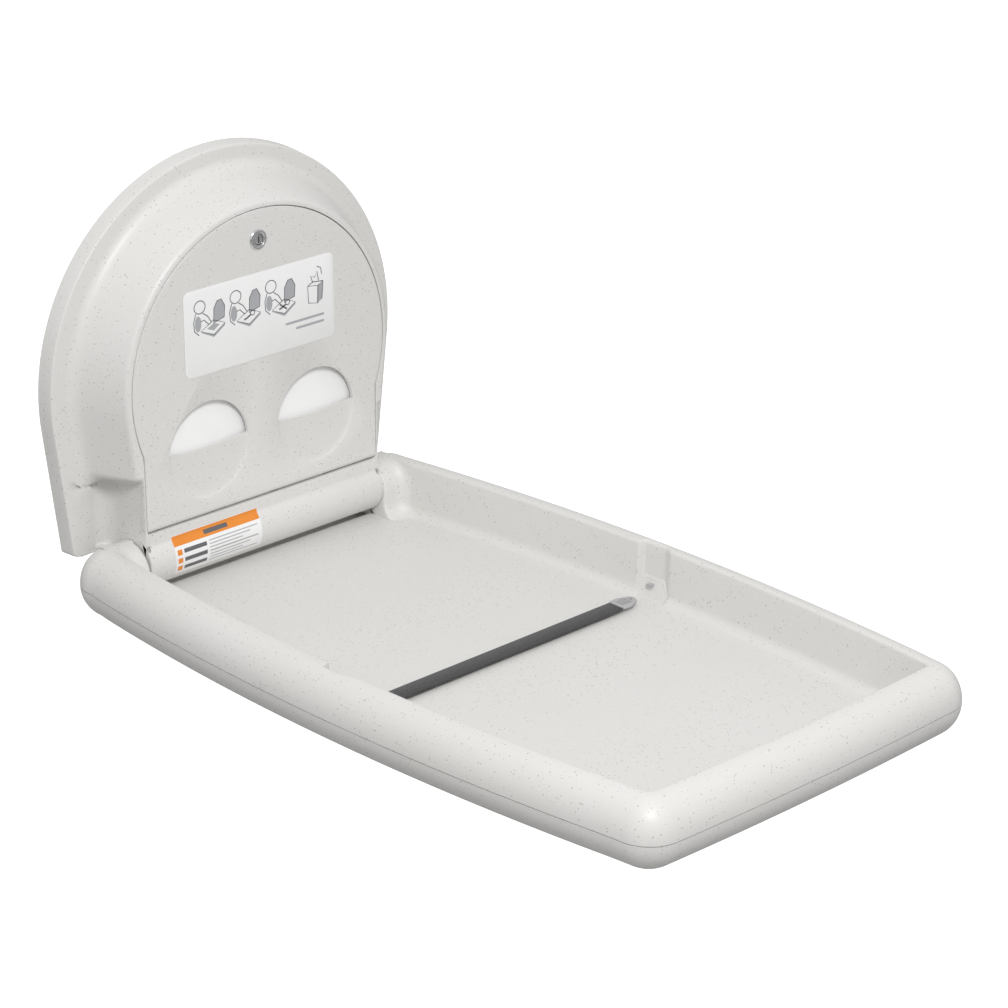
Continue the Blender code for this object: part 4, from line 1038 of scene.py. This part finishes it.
    def root_rings(self) -> list[list[Point]]:
        """Where the body grows out of the plate, with the recess beside its lower part."""
        rings, deep, plate = [], -0.012, -self.back_depth
        recess: list[Flat] = [(0.2080, -0.0220), (0.2072, -0.0216), (0.2067, -0.0200), (0.2060, -0.0160)]
        end = self.lower_half, -0.040
        recess += [bezier((0.2056, deep), (0.1812, deep), end, i / 9) for i in range(10)]
        foot, middle = (self.root_radius, plate), (self.root_radius - 0.010, plate)
        for i, (waist, waist_y) in enumerate(recess):
            t = i / (len(recess) - 1)
            radius, y = bezier(foot, middle, (self.shoulder_radius, self.shoulder_y), t)
            out, inner = blend(0.026, 0.020, t), blend(0.020, 0.026, t)
            half = self.body_half(radius, blend(0.090, 0.099, t), waist, self.bottom, out, inner)
            rings.append(self.place(half, y, waist_y))
        return rings

    def body_rings(self) -> list[list[Point]]:
        """The body's leaning side and its rounded front edge."""
        rings, side, front = [], self.lower_half, self.front
        for i in range(1, 5):
            t = i / 5
            radius = blend(self.shoulder_radius, self.crest_radius, t)
            y = blend(self.shoulder_y, self.crest_y, t)
            ledge, bottom = blend(0.099, 0.107, t), blend(self.bottom, self.face_bottom, t)
            out, inner = blend(0.020, 0.011, t), blend(0.026, 0.010, t)
            half = self.body_half(radius, ledge, side, bottom, out, inner)
            rings.append(self.place(half, y, min(y, blend(-0.040, self.crest_y, t))))
        for i in range(7):
            t = i / 6
            radius, y = bezier((self.crest_radius, self.crest_y), (0.2000, front), (0.1952, front), t)
            waist, waist_y = bezier((side, -0.0835), (side, front), (0.1800, front), t)
            ledge, out, inner = blend(0.107, 0.113, t), blend(0.011, 0.008, t), blend(0.010, 0.008, t)
            half = self.body_half(radius, ledge, waist, self.face_bottom, out, inner)
            rings.append(self.place(half, y, waist_y))
        return rings

    def opening_ring(self, grow: float, y: float, outer: Sequence[Point], stop: float) -> list[Point]:
        """The door opening's ring, each station as near as it can be to the ring outside it.

        Args:
            grow: How much wider than the door the opening is.
            y: Its depth.
            outer: The ring outside it.
            stop: How far a ledge reaches in behind the door, above its hinge.

        Returns:
            The ring's points.
        """
        count = len(outer)
        half = count // 2 + 1
        path = self.opening_half(grow, 600)
        chosen: list[int] = []
        last = 0
        for i in range(half):
            x, _, z = outer[i]
            window = range(last, min(600, last + 60))
            best = min(window, key=lambda k: (path[k][0] - x) ** 2 + (above(path[k][1]) - z) ** 2)
            chosen.append(best)
            last = best
        chosen[0], chosen[-1] = 0, 599
        whole = path + [(-x, h) for x, h in reversed(path[1:-1])]
        inner = shrink(whole, stop) if stop else path
        right = []
        for k in chosen:
            share = ease(path[k][1], 0.062, 0.074)
            x, h = blend(path[k][0], inner[k][0], share), blend(path[k][1], inner[k][1], share)
            right.append((x, y, above(h)))
        return right + [(-x, y, z) for x, _, z in reversed(right[1:-1])]

    def fillet_place(self) -> Flat:
        """The height of the fillet over the roll above the axis, and the angle where it meets it."""
        over = AXIS_Y - self.front + self.roll_fillet
        up = math.sqrt((self.roll_radius + self.roll_fillet) ** 2 - over ** 2)
        return up, math.atan2(up, over)

    def roll(self) -> bpy.types.Object:
        """The round roll at the foot of the housing, blended into the strip under the door."""
        fillet = self.roll_fillet
        up, meet = self.fillet_place()
        outline: list[Flat] = []
        for i in range(49):
            a = math.radians(-178) + (meet + math.radians(178)) * i / 48
            outline.append((AXIS_Y - self.roll_radius * math.cos(a), AXIS_Z + self.roll_radius * math.sin(a)))
        centre = (self.front - fillet, above(up))
        outline += arc(*centre, fillet, -meet, 0.0, 8)[1:]
        outline[-1] = (self.front + 0.00003, above(up))
        outline += [(self.front + 0.0035, above(up)), (self.front + 0.0035, above(0.012))]
        for i in range(25):
            a = math.radians(50) + math.radians(-228) * i / 24
            within = self.roll_radius - 0.004
            outline.append((AXIS_Y - within * math.cos(a), AXIS_Z + within * math.sin(a)))
        roll = bar("housing_roll", outline, "X", -self.lower_half, self.lower_half, 0.0014)
        for side in (-1, 1):
            disc = circle(AXIS_Y, AXIS_Z, self.roll_radius - 0.001, 48)
            start = side * (self.lower_half - 0.004)
            end = bar("roll_end", disc, "X", start, side * (self.lower_half - 0.0002))
            wedge = [(AXIS_Y, AXIS_Z), (AXIS_Y, above(0.012)), *outline[47:57]]
            wedge.append((self.front + 0.0030, above(up) - 0.0002))
            web = bar("roll_web", wedge, "X", start, side * (self.lower_half - 0.0004))
            mend_normals(web)
            roll = gather("housing_roll", [roll, end, web])
        soften(roll, 38)
        return dress(roll, SHELL, Body.FRAME, ["housing_shell"])


# ---------------------------------------------------------------- door


@dataclass
class Door:
    """The liner door with its two windows, finger scoops, label and lock."""

    housing: Housing
    thick: float = 0.005
    window_x: float = 0.0825
    window_radius: float = 0.060
    window_height: float = 0.122
    lip: float = 0.1275
    lock_height: float = 0.362
    lock_hole: float = 0.0098
    edge: float = 0.007

    def panel(self) -> bpy.types.Object:
        """The moulded door."""
        house = self.housing
        half = house.opening_half(0.0, 140)
        front, back = house.front, house.front + self.thick
        outline = [(x, above(h)) for x, h in half]
        outline += [(-x, z) for x, z in reversed(outline[1:-1])]
        rings: list[list[Point]] = []
        for y, inset in ((back, 0.004), (back, 0.0), (front + 0.0012, 0.0), (front + 0.0005, 0.0002),
                         (front + 0.0001, 0.0006), (front, 0.0013), (front, 0.006)):
            ring = shrink(outline, inset) if inset else outline
            rings.append([(x, y, z) for x, z in ring])
        door = loft("door_panel", rings)
        for side in (-1, 1):
            carve(door, self.scoop(side))
            carve(door, self.window(side))
        carve(door, self.foot())
        for side in (-1, 1):
            inner, outer = side * 0.164, side * 0.175
            hinge = (front + self.edge, above(house.door_bottom + self.edge))
            lug = bar("lug", circle(hinge[0], hinge[1], 0.0055, 24), "X", inner, outer, 0.0005, 2)
            carve(door, lug, "UNION")
        hole = circle(0.0, above(self.lock_height), self.lock_hole, 40)
        bore = bar("bore", hole, "Y", front - 0.002, back + 0.002)
        carve(door, bore)
        mend_normals(door)
        soften(door, 30)
        return dress(door, SHELL, Body.DOOR, ["liner_door"])

    def foot(self) -> bpy.types.Object:
        """What lies outside the door's round bottom edge."""
        house = self.housing
        y, z = house.front + self.edge, above(house.door_bottom + self.edge)
        outline = [(house.front - 0.004, z)] + arc(y, z, self.edge, math.pi, 1.5 * math.pi, 12)
        outline += [(y, z - self.edge - 0.004), (house.front - 0.004, z - self.edge - 0.004)]
        return bar("outside", outline, "X", -0.185, 0.185)

    def window(self, side: int) -> bpy.types.Object:
        """The part of a circle above the lip, as a cutter."""
        start = math.asin((self.lip - self.window_height) / self.window_radius)
        centre = side * self.window_x, above(self.window_height)
        outline = arc(*centre, self.window_radius, start, math.pi - start, 64)
        for i in range(1, 16):
            t = i / 16
            x = side * self.window_x + blend(-1, 1, t) * self.window_radius * math.cos(start)
            outline.append((x, above(self.lip - 0.0035 * math.sin(math.pi * t))))
        front = self.housing.front
        return bar("window", outline, "Y", front - 0.004, front + self.thick + 0.002)

    def scoop(self, side: int) -> bpy.types.Object:
        """A dished finger scoop that completes each window's circle."""
        front = self.housing.front
        dish = ((-0.003, 0.0602), (0.0, 0.0602), (0.0002, 0.0597), (0.0007, 0.0588), (0.0012, 0.0576),
                (0.0017, 0.0558), (0.0022, 0.052), (0.0026, 0.044), (0.0029, 0.034), (0.0030, 0.022),
                (0.0030, 0.010))
        profile = [(front + depth, radius) for depth, radius in dish]
        return turned("scoop", "Y", (side * self.window_x, above(self.window_height)), profile, 96)

    def label(self) -> None:
        """The white instruction label and its printed pictograms."""
        low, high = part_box("instruction_label")
        outline = rounded((low.x, low.z), (high.x, high.z), 0.009, 8)
        sheet = bar("label_film", outline, "Y", low.y, high.y, 0.0001, 2)
        soften(sheet)
        dress(sheet, FILM, Body.DOOR, ["instruction_label"])
        self.print_pictograms(low, high)

    def print_pictograms(self, low: Vector, high: Vector) -> None:
        """Four plain line drawings: lay paper, lay the child down, buckle up, throw the paper away."""
        art = LabelArt(low.y, 0.00118)
        middle = blend(low.z, high.z, 0.66)
        for number, share in enumerate((0.165, 0.40, 0.635)):
            art.figure(blend(low.x, high.x, share), middle, number)
        art.bin(blend(low.x, high.x, 0.87), middle)
        for share, width in ((0.30, 0.060), (0.22, 0.044)):
            z, x = blend(low.z, high.z, share), blend(low.x, high.x, 0.93) - width
            art.patch(rounded((x, z - 0.0015), (x + width, z + 0.0015), 0.0014, 3))
        art.build()

    def lock(self) -> None:
        """The bright lock face round the plug."""
        front = self.housing.front
        low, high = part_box("lock_barrel")
        profile = ((high.y, 0.0064), (high.y, 0.0094), (front + 0.0004, 0.0094), (front - 0.0003, 0.0096),
                   (front - 0.0003, 0.0125), (front - 0.0009, 0.0125), (front - 0.0014, 0.0121),
                   (low.y, 0.0112), (low.y, 0.0094), (low.y + 0.0005, 0.0088), (low.y + 0.0005, 0.0064),
                   (low.y + 0.0030, 0.0061))
        face = turned("lock_face", "Y", (0.0, above(self.lock_height)), profile, 64, closed=True)
        soften(face, 28)
        dress(face, CHROME, Body.DOOR, ["lock_barrel"])

    def plug(self) -> None:
        """The turning plug with its keyway, whose inside holds a black block as painted shade."""
        z = above(self.lock_height)
        low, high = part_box("lock_plug")
        profile = [(low.y + depth, radius) for depth, radius in (
            (0.012, 0.003), (0.012, 0.0059), (0.0010, 0.0059), (0.0005, 0.0056), (0.0003, 0.0045),
            (0.0003, 0.002))]
        plug = turned("lock_plug_face", "Y", (0.0, z), profile, 48)
        slot = rounded((-0.0009, z - 0.0042), (0.0009, z + 0.0042), 0.0008, 3)
        carve(plug, bar("keyway", slot, "Y", low.y - 0.002, low.y + 0.004))
        tail = bar("tail", circle(0.0, z, 0.0034, 24), "Y", low.y + 0.0115, high.y, 0.0004, 2)
        carve(plug, tail, "UNION")
        soften(plug, 28)
        dress(plug, CHROME, Body.LOCK, ["lock_plug"])
        # A black block set into the keyway slot: painted shade inside it.
        slot = rounded((-0.0008, z - 0.0041), (0.0008, z + 0.0041), 0.0007, 3)
        key = bar("keyway_shade_block", slot, "Y", low.y + 0.0012, low.y + 0.0038, 0.0002, 2)
        dress(key, KEYWAY_SHADE, Body.LOCK)


def near(x: float, z: float, *offsets: float) -> list[Flat]:
    """Points round a place, from their offsets in millimetres, across and up in turn."""
    return [(x + u / 1000, z + v / 1000) for u, v in zip(offsets[::2], offsets[1::2])]


@dataclass
class LabelArt:
    """Thin printed shapes on a flat label."""

    face: float
    width: float

    def __post_init__(self) -> None:
        """Starts with no shapes."""
        self.dark: list[bpy.types.Object] = []
        self.pale: list[bpy.types.Object] = []

    def stroke(self, points: Sequence[Flat], width: float = 0.0) -> None:
        """One inked line through points, mitred at its corners."""
        half = (width or self.width) / 2
        closed = math.dist(points[0], points[-1]) < 1e-9
        path = list(points[:-1] if closed else points)
        left, right = [], []
        for i, here in enumerate(path):
            before = path[i - 1] if i or closed else here
            after = path[(i + 1) % len(path)] if i + 1 < len(path) or closed else here
            length = math.dist(before, after) or 1e-9
            nx, nz = -(after[1] - before[1]) / length * half, (after[0] - before[0]) / length * half
            left.append((here[0] + nx, here[1] + nz))
            right.append((here[0] - nx, here[1] - nz))
        rings = [left + left[:1], right + right[:1]] if closed else [left, right]
        for k in range(len(rings[0]) - 1):
            quad = [rings[0][k], rings[0][k + 1], rings[1][k + 1], rings[1][k]]
            self.dark.append(bar("ink", quad, "Y", self.face - 0.00006, self.face - 0.00001))

    def patch(self, outline: Sequence[Flat]) -> None:
        """One filled pale shape."""
        self.pale.append(bar("ink", outline, "Y", self.face - 0.00005, self.face - 0.00001))

    def oval(self, x: float, z: float, wide: float, tall: float, steps: int = 22) -> list[Flat]:
        """Points round an upright oval, closed."""
        turns = [2 * math.pi * i / steps for i in range(steps)]
        points = [(x + wide * math.cos(a), z + tall * math.sin(a)) for a in turns]
        return points + points[:1]

    def figure(self, x: float, z: float, number: int) -> None:
        """A round-headed grown-up who leans over an open station."""
        board = near(x, z, 6, -10, 22, -6, 23, 8, 18, 17, 12, 16, 7, 8)
        self.patch(board)
        self.stroke(board + board[:1])
        self.patch(near(x, z, -12, -18, 6, -27, 23, -16, 23, -13, 6, -24, -13, -16))
        self.stroke(near(x, z, -13, -16, 6, -24, 23, -13, 6, -6, -13, -16))
        self.stroke(self.oval(x - 0.014, z + 0.014, 0.0082, 0.0078))
        self.stroke(near(x, z, -20, 7, -23.5, -3, -22.5, -14, -16, -20))
        self.stroke(near(x, z, -10, 6, -3, 1, 3, -8, -1, -10, -8, -3, -13, -4))
        self.patch(self.oval(x - 0.017, z - 0.006, 0.0048, 0.0095)[:-1])
        if number == 0:
            self.patch(near(x, z, -4, -15, 6, -19, 15, -13, 6, -10))
        if number > 0:
            self.stroke(self.oval(x + 0.011, z - 0.011, 0.0032, 0.0030, 14))
            self.stroke(near(x, z, 8, -13, 2, -16, -2, -17), 0.0022)
        if number == 2:
            self.stroke(near(x, z, -1, -11, 10, -19), 0.0020)

    def bin(self, x: float, z: float) -> None:
        """A bin with a crumpled sheet dropping in."""
        front = near(x, z, -10, -20, 4, -23, 5, -1, -11, 1)
        side = near(x, z, 4, -23, 11, -18, 13, 3, 5, -1)
        self.patch(side)
        for face in (front, side):
            self.stroke(face + face[:1])
        self.stroke(near(x, z, -11, 1, -3, 5, 13, 3))
        self.stroke(near(x, z, -3, 4, -6, 13, 0, 10, 4, 17, 6, 5))
        self.stroke(near(x, z, 11, 12, 10, 20, 4, 23))

    def build(self) -> None:
        """Joins the shapes into one dark and one pale print."""
        dress(gather("label_line_art", self.dark), INK, Body.DOOR)
        dress(gather("label_tints", self.pale), PALE_INK, Body.DOOR)


@dataclass
class CareLabel:
    """The wrapped label on the roll: an orange band over plain grey lines."""

    housing: Housing
    left: float = -0.145
    right: float = -0.014

    def section(self, lift: float) -> list[Flat]:
        """The roll's front face seen from the side, from the label's top to its foot."""
        house = self.housing
        radius, fillet = house.roll_radius, house.roll_fillet
        up, meet = house.fillet_place()
        points: list[Flat] = [(house.front - lift, above(up + 0.002)), (house.front - lift, above(up))]
        centre = (house.front - fillet, above(up))
        points += arc(*centre, fillet - lift, 0.0, -meet, 9)[1:-1]
        for i in range(25):
            a = blend(meet, math.radians(-34), i / 24)
            points.append((AXIS_Y - (radius + lift) * math.cos(a), AXIS_Z + (radius + lift) * math.sin(a)))
        return points

    def strip(self, start: float, end: float, left: float, right: float, low: float = 0.0003,
              high: float = 0.00036) -> bpy.types.Object:
        """Part of the label between two shares of its height and two X places.

        Args:
            start: Share of the height at its top, 0 at the label's top.
            end: Share at its foot.
            left: Its left side.
            right: Its right side.
            low: Height of its back face above the roll.
            high: Height of its front face.

        Returns:
            The new object.
        """
        outline: list[Flat] = []
        for lift, turn in ((low, False), (high, True)):
            path = self.housing.spread(self.section(lift), 121)
            part = path[round(start * 120): round(end * 120) + 1]
            outline += part[::-1] if turn else part
        return bar("label_print", outline, "X", left, right)

    def finish(self, name: str, parts: Sequence[bpy.types.Object], finish: Plain,
               nodes: Sequence[str] = ()) -> None:
        """Joins printed parts into one dressed piece."""
        printed = gather(name, parts)
        soften(printed)
        dress(printed, finish, Body.FRAME, nodes)

    def build(self) -> None:
        """Makes the film, its band, marks and lines."""
        left, right = self.left, self.right
        self.finish("care_film", [self.strip(0.0, 1.0, left, right, 0.00008, 0.0003)], FILM, ["care_label"])
        rows = [0.36 + 0.205 * row for row in range(3)]
        band = self.strip(0.012, 0.27, left + 0.0005, right - 0.0005)
        marks = [self.strip(top, top + 0.13, left + 0.003, left + 0.010) for top in rows]
        self.finish("care_band", [band, *marks], ORANGE)
        heavy = [self.strip(top + 0.01, top + 0.11, left + 0.013, left + 0.047) for top in rows]
        title = self.strip(0.09, 0.20, -0.098, -0.062, 0.00036, 0.00042)
        self.finish("care_heavy_lines", [*heavy, title], INK)
        fine = []
        for row in range(7):
            top, end = 0.36 + 0.084 * row, right - 0.006 - 0.012 * (row % 3)
            fine.append(self.strip(top, top + 0.026, left + 0.051, end))
        self.finish("care_fine_lines", fine, PALE_INK)


@dataclass
class Papers:
    """The folded paper liners behind the windows."""

    folds: int = 11

    def build(self) -> None:
        """Makes both stacks, each with its folded edges."""
        for word in ("left", "right"):
            low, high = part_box(f"paper_liners_{word}")
            outline: list[Flat] = []
            depth = (high.y - low.y) / self.folds
            for i in range(self.folds):
                y = low.y + depth * i
                dip = high.z - 0.0014
                fold = ((0.0, dip), (0.3, high.z), (0.7, high.z), (0.96, dip))
                outline += [(y + depth * share, z) for share, z in fold]
            outline += [(high.y, low.z), (low.y, low.z)]
            stack = bar(f"paper_stack_{word}", outline, "X", low.x, high.x, 0.0004, 2)
            soften(stack)
            dress(stack, PAPER, Body.FRAME, [f"paper_liners_{word}"])


# ---------------------------------------------------------------- carried-over metal parts


def finish_for(slot: str) -> Speckled | Plain | Webbing:
    """The finish that a material slot gets on a CAD node."""
    return {"shell": SHELL, "webbing": WEBBING, "steel": STEEL, "chrome": CHROME, "black_steel": BLACK,
            "buckle": BUCKLE, "paper": PAPER, "label": FILM}.get(slot, NYLON)


def dress_frame_nodes() -> None:
    """Gives every CAD node its finish."""
    slots = {part["node"]: part["material_slot"] for part in frame["record"]["subparts"]}
    for name, node in frame["nodes"].items():
        slot = slots.get(name, "steel")
        node.data.materials.clear()
        node.data.materials.append(finish_for(slot).make())


# ---------------------------------------------------------------- studio


@dataclass
class Studio:
    """Floor, lights, world and camera."""

    floor_height: float = -0.92
    eye: Point = (-2.3858, -2.9988, 1.3683)
    yaw: float = 43.696
    pitch: float = 22.435
    lens: float = 120.64
    aim: Point = (0.0, -0.4, -0.1)
    surround: float = 0.66

    def camera(self) -> None:
        """A long lens looking down on the open bed from its left front."""
        data = bpy.data.cameras.new("camera")
        data.lens, data.sensor_width = self.lens, 36.0
        data.clip_end = 60.0
        camera = bpy.data.objects.new("camera", data)
        bpy.context.collection.objects.link(camera)
        camera.location = self.eye
        camera.rotation_euler = (math.radians(90 - self.pitch), 0.0, math.radians(-self.yaw))
        bpy.context.scene.camera = camera

    def floor(self) -> None:
        """A plain pale floor."""
        deselect()
        bpy.ops.mesh.primitive_plane_add(size=60.0, location=(0.0, 0.0, self.floor_height))
        plane = bpy.context.object
        plane.name = "floor"
        made, kit, shader = start_material("pale_floor")
        shader.inputs["Base Color"].default_value = (0.40, 0.40, 0.40, 1.0)
        shader.inputs["Roughness"].default_value = 0.9
        shader.inputs["Specular IOR Level"].default_value = 0.1
        shader.inputs["Emission Color"].default_value = (1.0, 1.0, 1.0, 1.0)
        seen = kit.add("ShaderNodeLightPath")
        kit.link(seen.outputs["Is Camera Ray"], shader.inputs["Emission Strength"])
        plane.data.materials.append(made)

    def lamp(self, name: str, place: Point, size: float, power: float) -> None:
        """A soft square light that points at the station."""
        data = bpy.data.lights.new(name, "AREA")
        data.size, data.energy = size, power
        lamp = bpy.data.objects.new(name, data)
        bpy.context.collection.objects.link(lamp)
        lamp.location = place
        lamp.rotation_euler = (Vector(self.aim) - Vector(place)).to_track_quat("-Z", "Y").to_euler()

    def build(self) -> None:
        """Sets the whole studio up."""
        self.camera()
        self.floor()
        self.lamp("key", (-1.5, -2.6, 2.55), 0.8, 72.0)
        self.lamp("fill", (2.6, -2.6, 1.2), 2.0, 2.0)
        world = bpy.data.worlds.new("studio")
        bpy.context.scene.world = world
        world.use_nodes = True
        back = world.node_tree.nodes["Background"]
        back.inputs[0].default_value = (1.0, 1.0, 1.0, 1.0)
        back.inputs[1].default_value = self.surround
        bpy.context.scene.view_settings.view_transform = "Standard"


def main() -> None:
    """Builds the station piece by piece."""
    logging.basicConfig(level=logging.INFO, format="%(message)s")
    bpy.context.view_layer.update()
    dress_frame_nodes()
    Studio().build()
    bed = Bed()
    bed.top_shell()
    bed.bottom_shell()
    bed.screws()
    bed.strap()
    bed.tongue()
    housing = Housing()
    housing.cover()
    housing.roll()
    door = Door(housing)
    door.panel()
    door.label()
    door.lock()
    door.plug()
    CareLabel(housing).build()
    Papers().build()


if __name__ == "__main__":
    main()
